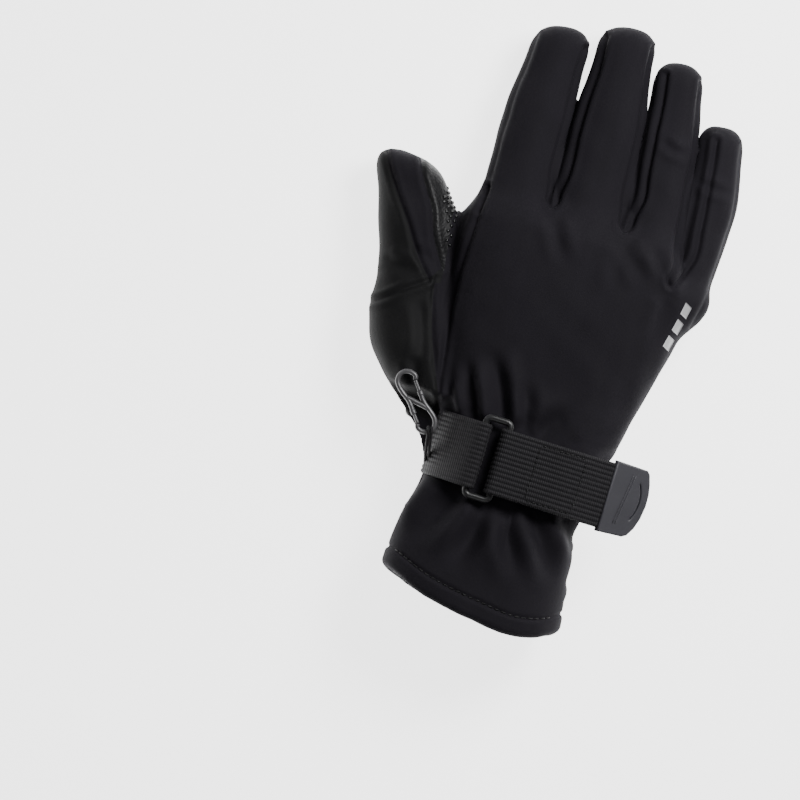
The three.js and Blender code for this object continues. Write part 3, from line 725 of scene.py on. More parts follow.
@dataclass
class Surface:
    """A triangle mesh with a normal at every point, in millimetres."""

    points: Array
    faces: Array
    normals: Array = field(default_factory=lambda: np.zeros((0, 3)))

    def shade(self) -> None:
        """Works the normals out from the faces."""
        a, b, c = (self.points[self.faces[:, i]] for i in range(3))
        flat = np.cross(b - a, c - a)
        total = np.zeros_like(self.points)
        for i in range(3):
            np.add.at(total, self.faces[:, i], flat)
        self.normals = total / np.maximum(np.linalg.norm(total, axis=1), 1e-12)[:, None]

    def clipped(self, level: Array) -> tuple[Surface, Array]:
        """The part where level is above zero, cut cleanly along its zero line.

        Args:
            level: One number to a point.

        Returns:
            The part, and its points' own levels.
        """
        level = np.where(np.abs(level) < 1e-6, 1e-6, level)
        positive = level > 0
        count = positive[self.faces].sum(1)
        faces = [self.faces[count == 3]]
        cut = self.faces[(count == 1) | (count == 2)]
        lone_positive = positive[cut].sum(1) == 1
        lone = np.where(lone_positive[:, None], positive[cut], ~positive[cut])
        turn = np.argmax(lone, axis=1)
        a, b, c = (cut[np.arange(len(cut)), (turn + i) % 3] for i in range(3))
        pairs = np.vstack([np.c_[a, b], np.c_[a, c]])
        edges, index = np.unique(np.sort(pairs, axis=1), axis=0, return_inverse=True)
        index = index.reshape(-1)
        share = level[edges[:, 0]] / (level[edges[:, 0]] - level[edges[:, 1]])
        mix = share[:, None]
        new_points = self.points[edges[:, 0]] * (1 - mix) + self.points[edges[:, 1]] * mix
        new_normals = self.normals[edges[:, 0]] * (1 - mix) + self.normals[edges[:, 1]] * mix
        ab = index[:len(cut)] + len(self.points)
        ac = index[len(cut):] + len(self.points)
        keep = lone_positive
        faces.append(np.c_[a, ab, ac][keep])
        faces.append(np.c_[ab, b, c][~keep])
        faces.append(np.c_[ab, c, ac][~keep])
        points = np.vstack([self.points, new_points])
        normals = np.vstack([self.normals, new_normals])
        levels = np.r_[level, np.zeros(len(new_points))]
        merged = np.vstack(faces)
        used, packed = np.unique(merged, return_inverse=True)
        return Surface(points[used], packed.reshape(-1, 3), normals[used]), levels[used]

    def parted(self, rule: Callable[[Array], Array]) -> tuple[Surface, Surface]:
        """Parts the surface by a rule on its points: where the rule is above zero, and the rest."""
        level = rule(self.points)
        return self.clipped(level)[0], self.clipped(-level)[0]


def net_surface(form: GloveForm, low: Array, high: Array, pitch: float) -> Surface:
    """Meshes a form by surface nets.

    Args:
        form: The form whose zero level is meshed.
        low: The lowest corner of the grid.
        high: The highest corner.
        pitch: The grid's spacing.

    Returns:
        The surface, with each square split into four smaller ones.
    """
    axes = [np.arange(low[i], high[i] + pitch, pitch) for i in range(3)]
    shape = tuple(len(axis) for axis in axes)
    grid = np.stack(np.meshgrid(*axes, indexing="ij"), -1).reshape(-1, 3)
    level = np.concatenate([form.field(part) for part in np.array_split(grid, 12)]).reshape(shape)
    inside = level < 0
    total = np.zeros((*[n - 1 for n in shape], 3))
    hits = np.zeros([n - 1 for n in shape])
    corners = [(i, j, k) for i in (0, 1) for j in (0, 1) for k in (0, 1)]
    window = tuple(n - 1 for n in shape)

    def corner(values: Array, at: tuple[int, int, int]) -> Array:
        """The values at one corner of every cell."""
        return values[at[0]:at[0] + window[0], at[1]:at[1] + window[1], at[2]:at[2] + window[2]]

    for first in corners:
        for axis in range(3):
            if first[axis] == 0:
                second = tuple(1 if i == axis else first[i] for i in range(3))
                near, away = corner(level, first), corner(level, second)
                crossed = corner(inside, first) != corner(inside, second)
                share = np.where(crossed, near / np.where(crossed, near - away, 1), 0)
                for i in range(3):
                    total[..., i] += crossed * (first[i] + (share if i == axis else 0))
                hits += crossed
    active = hits > 0
    number = np.full(window, -1)
    number[active] = np.arange(active.sum())
    base = np.stack(np.nonzero(active), -1)
    points = (base + total[active] / hits[active][:, None]) * pitch + low
    quads = []
    for axis in range(3):
        u, v = (axis + 1) % 3, (axis + 2) % 3
        ahead = np.take(inside, range(1, shape[axis]), axis)
        here = np.take(inside, range(shape[axis] - 1), axis)
        at = np.stack(np.nonzero(here != ahead), -1)
        at = at[(at[:, u] > 0) & (at[:, v] > 0) & (at[:, u] < shape[u] - 1) & (at[:, v] < shape[v] - 1)]
        leaving = here[tuple(at.T)]
        ring = []
        for du, dv in ((1, 1), (0, 1), (0, 0), (1, 0)):
            cell = at.copy()
            cell[:, u] -= du
            cell[:, v] -= dv
            ring.append(number[tuple(cell.T)])
        quad = np.stack(ring, -1)
        quads.append(np.where(leaving[:, None], quad, quad[:, ::-1]))
    return split_squares(points, np.vstack(quads))


def split_squares(points: Array, quads: Array) -> Surface:
    """Splits each square into four, and those into triangles."""
    pairs = np.vstack([quads[:, [i, (i + 1) % 4]] for i in range(4)])
    edges, index = np.unique(np.sort(pairs, axis=1), axis=0, return_inverse=True)
    sides = (index.reshape(4, -1) + len(points)).T
    centres = np.arange(len(quads)) + len(points) + len(edges)
    together = np.vstack([points, points[edges].mean(1), points[quads].mean(1)])
    small = np.vstack([np.c_[quads[:, i], sides[:, i], centres, sides[:, i - 1]] for i in range(4)])
    faces = np.vstack([small[:, [0, 1, 2]], small[:, [0, 2, 3]]])
    return Surface(together, faces)


def settle(surface: Surface, form: GloveForm, rounds: int = 3) -> None:
    """Moves a surface's points onto the form's zero level."""
    nudge = 0.05
    for _ in range(rounds):
        level = form.field(surface.points)
        slope = np.stack([
            (form.field(surface.points + offset) - form.field(surface.points - offset)) / (2 * nudge)
            for offset in np.eye(3) * nudge
        ], -1)
        size = np.maximum((slope**2).sum(1), 0.04)
        move = -slope * (level / size)[:, None]
        reach = np.maximum(np.linalg.norm(move, axis=1) / 0.8, 1)
        surface.points += move / reach[:, None]


# ---------------------------------------------------------------- seams, folds and gathers


class Side(Enum):
    """Which face of the glove a line is sewn on."""

    BACK = 1
    PALM = -1


@dataclass(frozen=True)
class Seam:
    """A sewn line: a groove with a soft roll on each side."""

    points: Points
    side: Side
    depth: float = 0.8
    roll: float = 0.5
    width: float = 1.0

    def line(self) -> Array:
        """The seam's smooth line in plan."""
        return smooth_line(self.points)

    def relief(self, distance: Array, along: Array, left: Array) -> Array:
        """Height of the cloth at distances from the seam."""
        del along
        groove = -self.depth * np.exp(-((distance / self.width) ** 2))
        roll = self.roll * np.exp(-(((distance - 2.4) / 1.5) ** 2))
        return groove + roll * np.where(left > 0, 1.0, 0.6)


@dataclass(frozen=True)
class Fold:
    """A soft valley, or a ridge where its depth is below zero, that fades at its ends."""

    points: Points
    side: Side
    depth: float
    width: float

    def line(self) -> Array:
        """The fold's smooth line in plan."""
        return smooth_line(self.points, 3.0)

    def relief(self, distance: Array, along: Array, left: Array) -> Array:
        """Height of the cloth at distances from the fold."""
        del left
        corners = np.asarray(self.points, float)
        length = np.hypot(*np.diff(corners, axis=0).T).sum()
        fade = step(-0.05 * length, 0.18 * length, along) * step(length, 0.5 * length, along)
        valley = -np.exp(-((distance / self.width) ** 2))
        bank = 0.85 * np.exp(-(((distance - 2.0 * self.width) / (1.1 * self.width)) ** 2))
        return self.depth * (valley + bank) * fade


def crotch_seam(left: Limb, right: Limb, place: tuple[float, float], side: Side) -> Seam:
    """The seam down one finger's edge, round the crotch and up the next finger's edge."""
    inset_left = left.back_seams[1] if side is Side.BACK else 0.84
    inset_right = right.back_seams[0] if side is Side.BACK else -0.84
    down = left.edge(inset_left, left.length - 7, place[1] + 13 - left.root[1])
    rise = right.edge(inset_right, place[1] + 13 - right.root[1], right.length - 7)
    middle, low = place
    bottom = [
        (down[-1][0] * 0.6 + middle * 0.4, low + 4.5),
        (middle - 1.9, low - 0.8),
        (middle, low - 2.8),
        (middle + 1.9, low - 0.8),
        (rise[0][0] * 0.6 + middle * 0.4, low + 4.5),
    ]
    return Seam([*down, *bottom, *rise], side, depth=1.3, roll=0.9, width=1.1)


CROTCHES = ((INDEX, MIDDLE, (-18.8, 113.0)), (MIDDLE, RING, (15.6, 111.0)), (RING, LITTLE, (42.0, 92.0)))
THUMB_SIDE_LINE: Points = ((-42.5, 4), (-45.0, 14), (-46.9, 22.4), (-48.6, 36.8), (-50.3, 51.3),
                           (-51.2, 65.9), (-51, 76.5), (-50, 92), (-48.6, 112))
THUMB_LEATHER_LINE: Points = ((-44.5, 104), (-43.5, 86), (-33, 71), (-20, 56), (-8, 39), (-4.5, 20),
                              (-2.5, -9))
PATCH_TOP: Points = ((-44.5, 104), (-28, 104), (-10, 103), (12, 98), (37, 91), (62, 83))
PATCH_BOTTOM: Points = ((-8, 39), (8, 40.3), (22, 41.5), (40, 43.6), (62, 47))
LIFE_LINE: Points = ((-40, 86), (-20, 82), (2, 76), (20, 67), (37, 56), (52, 50))
CUFF_LINE: Points = ((-50, -13), (-36, -11.5), (-22, -11), (0, -9.4), (18, -12.5), (36, -16))

BACK_FOLDS = (
    Fold(((-14, 8), (-18.5, 21.5), (-29, 44)), Side.BACK, 3.0, 3.4),
    Fold(((-27, 8), (-31, 18), (-38.5, 37)), Side.BACK, 2.0, 2.4),
    Fold(((-6, 9), (-6.5, 20), (-12, 34)), Side.BACK, 1.4, 3.0),
    Fold(((-37, 9), (-40.5, 15), (-44.5, 24)), Side.BACK, 1.2, 2.0),
    Fold(((0, 10), (5, 15), (16, 26)), Side.BACK, 1.4, 4.4),
    Fold(((14, 9), (22, 13), (37, 24)), Side.BACK, 1.0, 4.6),
    Fold(((-11.4, -24), (-14.5, -38), (-22, -60)), Side.BACK, 2.5, 4.2),
    Fold(((-6, -23), (1, -38), (12, -58)), Side.BACK, 2.5, 4.2),
    Fold(((5, -22), (15, -36), (26, -55)), Side.BACK, 2.4, 4.2),
    Fold(((-24, -23), (-33, -36), (-42, -54)), Side.BACK, 1.8, 4.4),
    Fold(((20, -21), (27, -30), (34, -42)), Side.BACK, 1.6, 3.4),
    Fold(((-44, -18), (-48, -32), (-52, -48)), Side.BACK, 1.6, 2.6),
    Fold(((-17, 106), (-12, 96), (-5, 84)), Side.BACK, 0.8, 2.8),
    Fold(((17, 104), (23, 95), (31, 86)), Side.BACK, 0.8, 3.0),
    Fold(((16, 103), (17, 92), (20, 78)), Side.BACK, 0.6, 3.2),
    Fold(((42, 84), (42, 76), (38, 64)), Side.BACK, 0.7, 2.8),
    Fold(((30, 104), (36, 96), (40, 90)), Side.BACK, 0.6, 2.6),
    Fold(((22, 152), (28, 149), (36, 149.5)), Side.BACK, 0.6, 1.8),
    Fold(((43, 139), (50, 137), (59, 138.5)), Side.BACK, 0.6, 1.8),
    Fold(((-65, 55), (-60, 42), (-56, 22)), Side.BACK, 1.1, 3.0),
    Fold(((-62, 30), (-57, 20), (-53, 8)), Side.BACK, 1.0, 2.8),
    Fold(((-86, 70), (-78, 67), (-70, 68)), Side.BACK, 0.6, 2.4),
    Fold(((-74, 78), (-69, 74), (-63, 75)), Side.BACK, 0.7, 2.2),
)
PALM_FOLDS = (
    Fold(((-42, 62), (-30, 50), (-16, 40)), Side.PALM, 0.9, 2.6),
    Fold(((-30, 30), (-22, 14), (-18, -2)), Side.PALM, 0.9, 3.0),
    Fold(((-46, 72), (-52, 60), (-58, 50)), Side.PALM, 0.9, 3.0),
    Fold(((4, 30), (16, 20), (34, 16)), Side.PALM, 0.7, 3.4),
    Fold(((8, 6), (20, 2), (33, 3)), Side.PALM, 0.8, 3.0),
    Fold(((-10, 92), (0, 82), (14, 78)), Side.PALM, 0.6, 2.6),
    Fold(((20, 88), (34, 78), (50, 74)), Side.PALM, 0.6, 2.6),
    Fold(((-80, 84), (-72, 82), (-62, 84)), Side.PALM, 0.7, 2.2),
)


def finger_creases() -> list[Fold]:
    """The creases across the palm side of each finger, at its middle joint and root."""
    creases = []
    for limb in FINGERS:
        for along in (limb.length * limb.middle_at, limb.length * limb.middle_at - 13, 12):
            ends = [limb.spot(along + bend, side) for side, bend in ((-0.8, 0), (0, -1.2), (0.8, 0.6))]
            creases.append(Fold(ends, Side.PALM, 0.9, 1.7))
    return creases


def side_seams() -> list[Seam]:
    """The seams on the outer edges of the index and little fingers and on the thumb."""
    return [
        Seam([*INDEX.edge(-0.88, INDEX.length - 7, 16), (-48.8, 112), (-50, 100)], Side.BACK, 0.6, 0.4),
        Seam([*LITTLE.edge(0.9, LITTLE.length - 7, 8), (59.5, 90), (56, 74)], Side.BACK, 0.5, 0.3),
        Seam([*INDEX.edge(-0.87, INDEX.length - 8, 10), (-50, 104)], Side.PALM),
        Seam([*LITTLE.edge(0.87, LITTLE.length - 8, 8), (58.6, 88)], Side.PALM),
    ]


THUMB_STRIP_LEFT: Points = ((-97, 116), (-93.5, 109), (-89.7, 102.6), (-79.1, 86.8), (-71.3, 74),
                            (-63.6, 64.9))
THUMB_STRIP_RIGHT: Points = ((-82, 119), (-77.2, 107.4), (-70.4, 95.8), (-66.5, 84.2), (-59.3, 71.2))
THUMB_CROSS: Points = ((-90, 46), (-80.9, 51.7), (-72, 58.5), (-63.3, 64.2))
SIDE_STRIP_LINE: Points = ((-60.8, 66), (-59.4, 56.3), (-56, 42.3), (-51.2, 28.6), (-46.5, 17))

SEAMS = (
    *(crotch_seam(*spot, Side.BACK) for spot in CROTCHES),
    *(crotch_seam(*spot, Side.PALM) for spot in CROTCHES),
    *side_seams(),
    Seam(THUMB_SIDE_LINE, Side.BACK, 0.9, 0.7),
    Seam(SIDE_STRIP_LINE, Side.BACK, 0.8, 0.4),
    Seam(THUMB_STRIP_LEFT, Side.BACK, 0.8, 0.6),
    Seam(THUMB_STRIP_RIGHT, Side.BACK, 0.8, 0.6),
    Seam(THUMB_CROSS, Side.BACK, 0.5, 0.7),
    Seam(THUMB_LEATHER_LINE, Side.PALM, 1.1, 0.7),
    Seam(PATCH_TOP, Side.PALM, 1.1, 0.7),
    Seam(PATCH_BOTTOM, Side.PALM, 1.1, 0.7),
    Seam(LIFE_LINE, Side.PALM, 1.0, 0.8),
    Seam(CUFF_LINE, Side.PALM, 1.4, 1.1, 1.1),
)


@dataclass
class Gathers:
    """The elastic rows that gather the palm side of the cuff into puckers."""

    rows: int = 5
    first: float = 12.0
    pitch: float = 12.2
    height: float = 2.1
    pucker: float = 9.5

    def relief(self, points: Array) -> Array:
        """Height of the gathered cloth."""
        from_hem = -FORM.hem(points)
        row = (from_hem - self.first) / self.pitch
        span = step(0, 0.4, row) * step(self.rows + 0.35, self.rows - 0.1, row)
        index = np.floor(row)
        phase = row - index
        sideways = points[:, 0] + 2.6 * np.sin(index * 2.4 + points[:, 0] * 0.11)
        lean = (phase - 0.5) * np.where(index % 2 > 0, 1.0, -1.0) * 5.0
        width = self.pucker * (1 + 0.18 * np.sin(index * 4.1 + 0.5))
        wave = np.cos(2 * np.pi * (sideways + lean) / width + index * 2.1)
        puff = np.sin(np.pi * phase) ** 0.65
        sharp = np.sign(wave) * np.abs(wave) ** 0.75
        crumple = Waves(11, 6.0).at(points) * 0.28
        return span * (self.height * (puff * (0.62 + 0.42 * sharp) - 0.75) + crumple * puff)


@dataclass
class Relief:
    """Everything that shapes the cloth's surface beyond the plain form."""

    gathers: Gathers = field(default_factory=Gathers)
    hem_band: float = 8.5
    reach: float = 11.0

    def height(self, points: Array, normals: Array) -> Array:
        """How far each point moves out along its normal.

        Args:
            points: The plain form's points.
            normals: Its normals.

        Returns:
            One height to a point.
        """
        outside = FORM.palm(points) > -FORM.wall * 0.5
        outside |= points[:, 1] > FORM.cavity_end
        total = 0.34 * Waves(3, 34).at(points) + 0.13 * Waves(5, 13).at(points)
        for line in (*SEAMS, *BACK_FOLDS, *PALM_FOLDS, *finger_creases()):
            total += self._sewn(line, points, normals)
        total += self._hem(points)
        lift = np.where(points[:, 0] > 0, 7.0, 0.0)
        below = step(0.45, -0.1, normals[:, 2]) * step(29 + lift, 18 + lift, points[:, 2])
        total += self.gathers.relief(points) * below
        total -= 0.5 * below * step(-9, -13, points[:, 1])
        deepest = -3.0
        total = np.where(total > deepest, total, deepest + 0.15 * (total - deepest))
        return np.where(outside, total, 0.15 * Waves(7, 9).at(points) - 0.3)

    def _sewn(self, line: Seam | Fold, points: Array, normals: Array) -> Array:
        """The relief of one seam or fold."""
        path = line.line()
        low, high = path.min(0) - self.reach, path.max(0) + self.reach
        plan = points[:, :2]
        near = ((plan > low) & (plan < high)).all(1)
        near &= normals[:, 2] * line.side.value > -0.05
        result = np.zeros(len(points))
        if near.any():
            distance, along, left = line_distance(plan[near], path)
            facing = step(-0.05, 0.3, normals[near, 2] * line.side.value)
            result[near] = line.relief(distance, along, left) * facing
        return result

    def _hem(self, points: Array) -> Array:
        """A full hem band with its stitched groove."""
        from_hem = -FORM.hem(points)
        band = 0.55 * step(self.hem_band, self.hem_band - 2.2, from_hem)
        groove = -0.75 * np.exp(-(((from_hem - self.hem_band) / 0.9) ** 2))
        return band + groove


# ---------------------------------------------------------------- making objects


class Workshop:
    """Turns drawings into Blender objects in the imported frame."""

    def __init__(self, frame: dict) -> None:
        """Finds where the drawing lies in the frame.
        """
        joints = {joint["name"]: joint for joint in frame["joints"]}
        pivot = np.array(joints["strap_peel"]["pos_m"]) / MM
        angle = math.radians(FORM.strap_tilt)
        bar = Strap.ring_right
        drawn = np.array([bar * math.cos(angle), FORM.strap_y + bar * math.sin(angle)])
        self.shift = np.array([*(pivot[:2] - drawn), 0.0])

    def metres(self, points: Array) -> Array:
        """Drawing millimetres to frame metres."""
        return (np.asarray(points, float) + self.shift) * MM

    def place(self, point: Sequence[float]) -> Vector:
        """One drawing point in the frame."""
        return Vector(self.metres(np.asarray(point, float)))

    def piece(self, name: str, points: Array, faces: Sequence, finish: Finish) -> bpy.types.Object:
        """Makes one mesh object.

        Args:
            name: The piece's name.
            points: Its points in the drawing.
            faces: Its faces, as an array or a list.
            finish: Its finish.

        Returns:
            The object, linked to the scene.
        """
        mesh = bpy.data.meshes.new(name)
        listed = faces.tolist() if isinstance(faces, np.ndarray) else faces
        mesh.from_pydata(self.metres(points).tolist(), [], listed)
        mesh.polygons.foreach_set("use_smooth", [True] * len(mesh.polygons))
        mesh.materials.append(finish.material())
        made = bpy.data.objects.new(name, mesh)
        bpy.context.scene.collection.objects.link(made)
        LOG.info("%s: %d faces", name, len(mesh.polygons))
        return made

    def hang(self, name: str, drawing: tuple[Array, Sequence], finish: Finish, body: str,
             *nodes: str) -> None:
        """Makes one piece that rides on one body.

        Args:
            name: The piece's name.
            drawing: Its points and faces.
            finish: Its finish.
            body: The body it rides on.
            nodes: The frame's nodes that it replaces.
        """
        made = self.piece(name, *drawing, finish)
        if nodes:
            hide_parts(*nodes)
        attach(made, body)

    def cloth(self, name: str, surface: Surface, finish: Finish) -> bpy.types.Object:
        """Makes one panel of the glove, keeping the whole surface's normals."""
        made = self.piece(name, surface.points, surface.faces, finish)
        made.data.normals_split_custom_set_from_vertices(surface.normals.tolist())
        return made


def ring_faces(rings: int, sides: int, closed: bool) -> list[tuple[int, ...]]:
    """Faces of a tube of rings, with end caps unless it is closed."""
    faces: list[tuple[int, ...]] = []
    for ring in range(rings if closed else rings - 1):
        after = (ring + 1) % rings
        for side in range(sides):
            beside = (side + 1) % sides
            here, there = ring * sides, after * sides
            faces.append((here + side, here + beside, there + beside, there + side))
    if not closed:
        faces.append(tuple(reversed(range(sides))))
        faces.append(tuple((rings - 1) * sides + side for side in range(sides)))
    return faces


def tube(path: Array, radius: float, sides: int = 8, closed: bool = False,
         flat: float = 1.0) -> tuple[Array, list[tuple[int, ...]]]:
    """A tube along a path in space.

    Args:
        path: The path's points.
        radius: The tube's radius.
        sides: How many sides it has.
        closed: Whether the path is a loop.
        flat: Its thickness as a share of its width.

    Returns:
        Points and faces.
    """
    path = np.asarray(path, float)
    if closed:
        along = np.roll(path, -1, 0) - np.roll(path, 1, 0)
    else:
        along = np.gradient(path, axis=0)
    along /= np.maximum(np.linalg.norm(along, axis=1), 1e-9)[:, None]
    up = np.where(np.abs(along[:, 2:]) > 0.95, [[1.0, 0, 0]], [[0, 0, 1.0]])
    across = np.cross(along, up)
    across /= np.linalg.norm(across, axis=1)[:, None]
    rise = np.cross(across, along)
    turn = np.arange(sides) * 2 * np.pi / sides
    ring = across[:, None] * np.cos(turn)[None, :, None] + rise[:, None] * np.sin(turn)[None, :, None] * flat
    points = (path[:, None] + ring * radius).reshape(-1, 3)
    faces = ring_faces(len(path), sides, closed)
    return points, [tuple(reversed(face)) for face in faces]


def merged(parts: Sequence[tuple[Array, Sequence]]) -> tuple[Array, list[tuple[int, ...]]]:
    """Joins several lots of points and faces into one."""
    points, faces, count = [], [], 0
    for part_points, part_faces in parts:
        points.append(part_points)
        faces.extend(tuple(int(i) + count for i in face) for face in part_faces)
        count += len(part_points)
    return np.vstack(points), faces


@dataclass
class Draper:
    """Lays lines and small pieces on the finished cloth."""

    surface: Surface
    tree: BVHTree = field(init=False)

    def __post_init__(self) -> None:
        """Indexes the surface for ray casts."""
        self.tree = BVHTree.FromPolygons(self.surface.points.tolist(), self.surface.faces.tolist())

    def drop(self, x: float, y: float, side: Side) -> tuple[Array, Array] | None:
        """The cloth's place and normal above or below a point in plan."""
        far = 200.0 * side.value
        hit, normal, _, _ = self.tree.ray_cast(Vector((x, y, far)), Vector((0, 0, -side.value)))
        if hit is None:
            return None
        return np.array(hit), np.array(normal)

    def lay(self, line: Array, side: Side, lift: float) -> Array:
        """A line in plan laid on the cloth, raised by lift."""
        found = [self.drop(x, y, side) for x, y in line]
        return np.array([place + normal * lift for place, normal in (hit for hit in found if hit)])


def stitch_row(path: Array, length: float = 2.3, gap: float = 0.9, radius: float = 0.3) -> tuple[Array, list]:
    """A row of stitches along a path in space.

    Args:
        path: The path's points.
        length: Each stitch's length.
        gap: The space between two stitches.
        radius: The thread's radius.

    Returns:
        Points and faces.
    """
    steps = np.linalg.norm(np.diff(path, axis=0), axis=1)
    reach = np.r_[0, np.cumsum(steps)]
    parts = []
    start = gap
    arch = np.array([-0.25, 0.16, 0.22, 0.16, -0.25])
    while start + length < reach[-1]:
        where = start + np.linspace(0, length, 5)
        places = np.stack([np.interp(where, reach, path[:, i]) for i in range(3)], -1)
        places[:, 2] += arch * (1 if path[0, 2] > 20 else -1)
        parts.append(tube(places, radius, 5))
        start += length + gap
    return merged(parts)


# ---------------------------------------------------------------- the cloth


@dataclass
class Shell:
    """The glove's cloth, made as one surface and parted into panels."""

    pitch: float = 1.5
    side_seam: float = 20.0
    knuckle_start: float = 3.0
    knuckle_blend: tuple[float, float] = (2.0, 20.0)
    middle_reach: float = 10.0
    band_width: float = 8.4
    lining_depth: float = 0.8
    strip_floor: float = 13.0
    limb_fill: float = 0.7
    hand_fill: float = 0.6
    surface: Surface = field(init=False)

    def build(self) -> None:
        """Makes the whole surface with its relief."""
        low = np.array([-100.0, -90.0, -4.0])
        high = np.array([66.0, 202.0, 58.0])
        self.surface = net_surface(FORM, low, high, self.pitch)
        settle(self.surface, FORM)
        self.surface.shade()
        height = Relief().height(self.surface.points, self.surface.normals)
        self.surface.points += self.surface.normals * height[:, None]
        self.surface.shade()
        LOG.info("cloth: %d points", len(self.surface.points))

    def limb_rule(self, limb: Limb) -> Callable[[Array], Array]:
        """Above zero on a limb past its knuckle."""
        def rule(points: Array) -> Array:
            """Past the knuckle plane and nearer to this limb than to any other."""
            along = limb.local(points)[0]
            others = [other.field(points) for other in LIMBS if other is not limb]
            if limb is THUMB:
                others.append(FORM.palm(points))
            nearest = np.min(others, axis=0) - limb.field(points)
            return np.minimum(along - self.knuckle_start, nearest)
        return rule

    def palm_side(self, points: Array) -> Array:
        """Above zero under the side seam."""
        return self.side_seam - points[:, 2]

    def dress(self, shop: Workshop) -> None:
        """Makes every panel's object, and hangs the hand's panels on the hand body."""
        rest = self.surface
        for limb in LIMBS:
            whole, rest = rest.parted(self.limb_rule(limb))
            self._dress_limb(shop, limb, whole)
        self._dress_hand(shop, rest)

    def _dress_limb(self, shop: Workshop, limb: Limb, whole: Surface) -> None:
        """Splits a limb into a root half and a tip half, between its two hinges, and makes each half's
        panels.
        """
        middle = limb.length * limb.middle_at
        part = (self.knuckle_blend[1] + middle - self.middle_reach) / 2
        tip, root = whole.parted(lambda points: limb.local(points)[0] - part)
        ends = {
            "root": (root, "hand", f"{limb.name}_base", self.knuckle_blend, "base"),
            "end": (tip, f"{limb.name}_base", f"{limb.name}_tip",
                    (middle - self.middle_reach, middle + self.middle_reach), "tip"),
        }
        for label, (surface, near, distant, reach, cad) in ends.items():
            pieces = self._limb_panels(limb, surface)
            for number, (kind, (panel, finish)) in enumerate(pieces.items()):
                if len(panel.faces) == 0:
                    continue
                made = shop.cloth(f"{limb.name}_{label}_{kind}", panel, finish)
                if number == 0:
                    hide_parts(f"{limb.name}_{cad}_shell", f"{limb.name}_{cad}_lining")
                start, finish_at = (limb.spot(along, 0) for along in reach)
                level = limb.profile(np.array([0.5]))[1][0]
                shop.place((*start, level))
                shop.place((*finish_at, level))
                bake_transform(made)

    def _limb_panels(self, limb: Limb, surface: Surface) -> dict[str, tuple[Surface, Finish]]:
        """The panels of one stretch of a finger or of the thumb."""
        if limb is not THUMB:
            return {"shell": (surface, Finish.SOFTSHELL)}
        strip_area = np.array([*smooth_line(THUMB_STRIP_LEFT), *smooth_line(THUMB_STRIP_RIGHT)[::-1],
                               (-82, 130), (-110, 130), (-110, 116)])
        strip, other = surface.parted(
            lambda points: np.minimum(inside_outline(points[:, :2], strip_area),
                                      points[:, 2] - self.strip_floor)
        )
        leather, suede = other.parted(self.thumb_leather_rule)
        return {"suede": (suede, Finish.SUEDE), "strip": (strip, Finish.SOFTSHELL),
                "leather": (leather, Finish.LEATHER)}

    def thumb_leather_rule(self, points: Array) -> Array:
        """Above zero on the thumb's palm and inner side."""
        _, side, rise, _ = THUMB.local(points)
        palm = (0.1 + 0.45 * np.clip(side, -1, 1) - rise) * 10.0
        web = np.array([*smooth_line(THUMB_STRIP_RIGHT), (-50, 62), (-40, 130), (-82, 130)])
        return np.maximum(palm, inside_outline(points[:, :2], web))

    def _dress_hand(self, shop: Workshop, rest: Surface) -> None:
        """The hand's own panels."""
        inner, outer = rest.parted(
            lambda points: np.minimum(-FORM.wall * self.lining_depth - FORM.palm(points),
                                      FORM.cavity_end + 1 - points[:, 1])
        )
        band, body = outer.parted(lambda points: self.band_width + FORM.hem(points))
        palm, back = body.parted(self.palm_side)
        cuff_area = np.array([*CUFF_LINE, (90, -24), (90, -120), (-90, -120), (-90, -16)])
        cuff, palm = palm.parted(lambda points: inside_outline(points[:, :2], cuff_area))
        leather_area = np.array([*THUMB_LEATHER_LINE, (-3, -30), (-130, -30), (-130, 104)])
        thumb_leather, palm = palm.parted(lambda points: inside_outline(points[:, :2], leather_area))
        patch_area = np.array([*PATCH_TOP, (80, 76), (80, 49), *reversed(PATCH_BOTTOM),
                               *reversed(THUMB_LEATHER_LINE[1:4])])
        patch, palm = palm.parted(lambda points: inside_outline(points[:, :2], patch_area))
        side_area = np.array([*smooth_line(THUMB_SIDE_LINE), (-60, 130), (-130, 130), (-130, 4)])
        side, back = back.parted(lambda points: inside_outline(points[:, :2], side_area))
        strip_area = np.array([*smooth_line(THUMB_SIDE_LINE)[::-1], *smooth_line(SIDE_STRIP_LINE)[::-1],
                               (-62, 75), (-64, 120), (-48, 125)])
        strip, side = side.parted(lambda points: inside_outline(points[:, :2], strip_area))
        pieces = (
            ("back_cloth", back, Finish.SOFTSHELL, ("back_panel", "back_insulation")),
            ("thumb_side_suede", side, Finish.SUEDE, ("thumb_side_panel",)),
            ("thumb_side_strip", strip, Finish.SOFTSHELL, ()),
            ("palm_patch_leather", patch, Finish.LEATHER, ("palm_patch", "palm_insulation")),
            ("thumb_palm_leather", thumb_leather, Finish.LEATHER, ("thumb_leather",)),
            ("palm_cloth", palm, Finish.SOFTSHELL, ("palm_heel_panel",)),
            ("gathered_cuff", cuff, Finish.SOFTSHELL,
             ("cuff_panel", "cuff_elastic_1", "cuff_elastic_2", "cuff_elastic_3")),
            ("hem_band_cloth", band, Finish.SOFTSHELL, ("hem_band",)),
            ("hand_lining_fleece", inner, Finish.FLEECE, ("hand_lining",)),
        )
        for name, panel, finish, nodes in pieces:
            made = shop.cloth(name, panel, finish)
            if nodes:
                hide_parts(*nodes)
            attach(made, "hand")


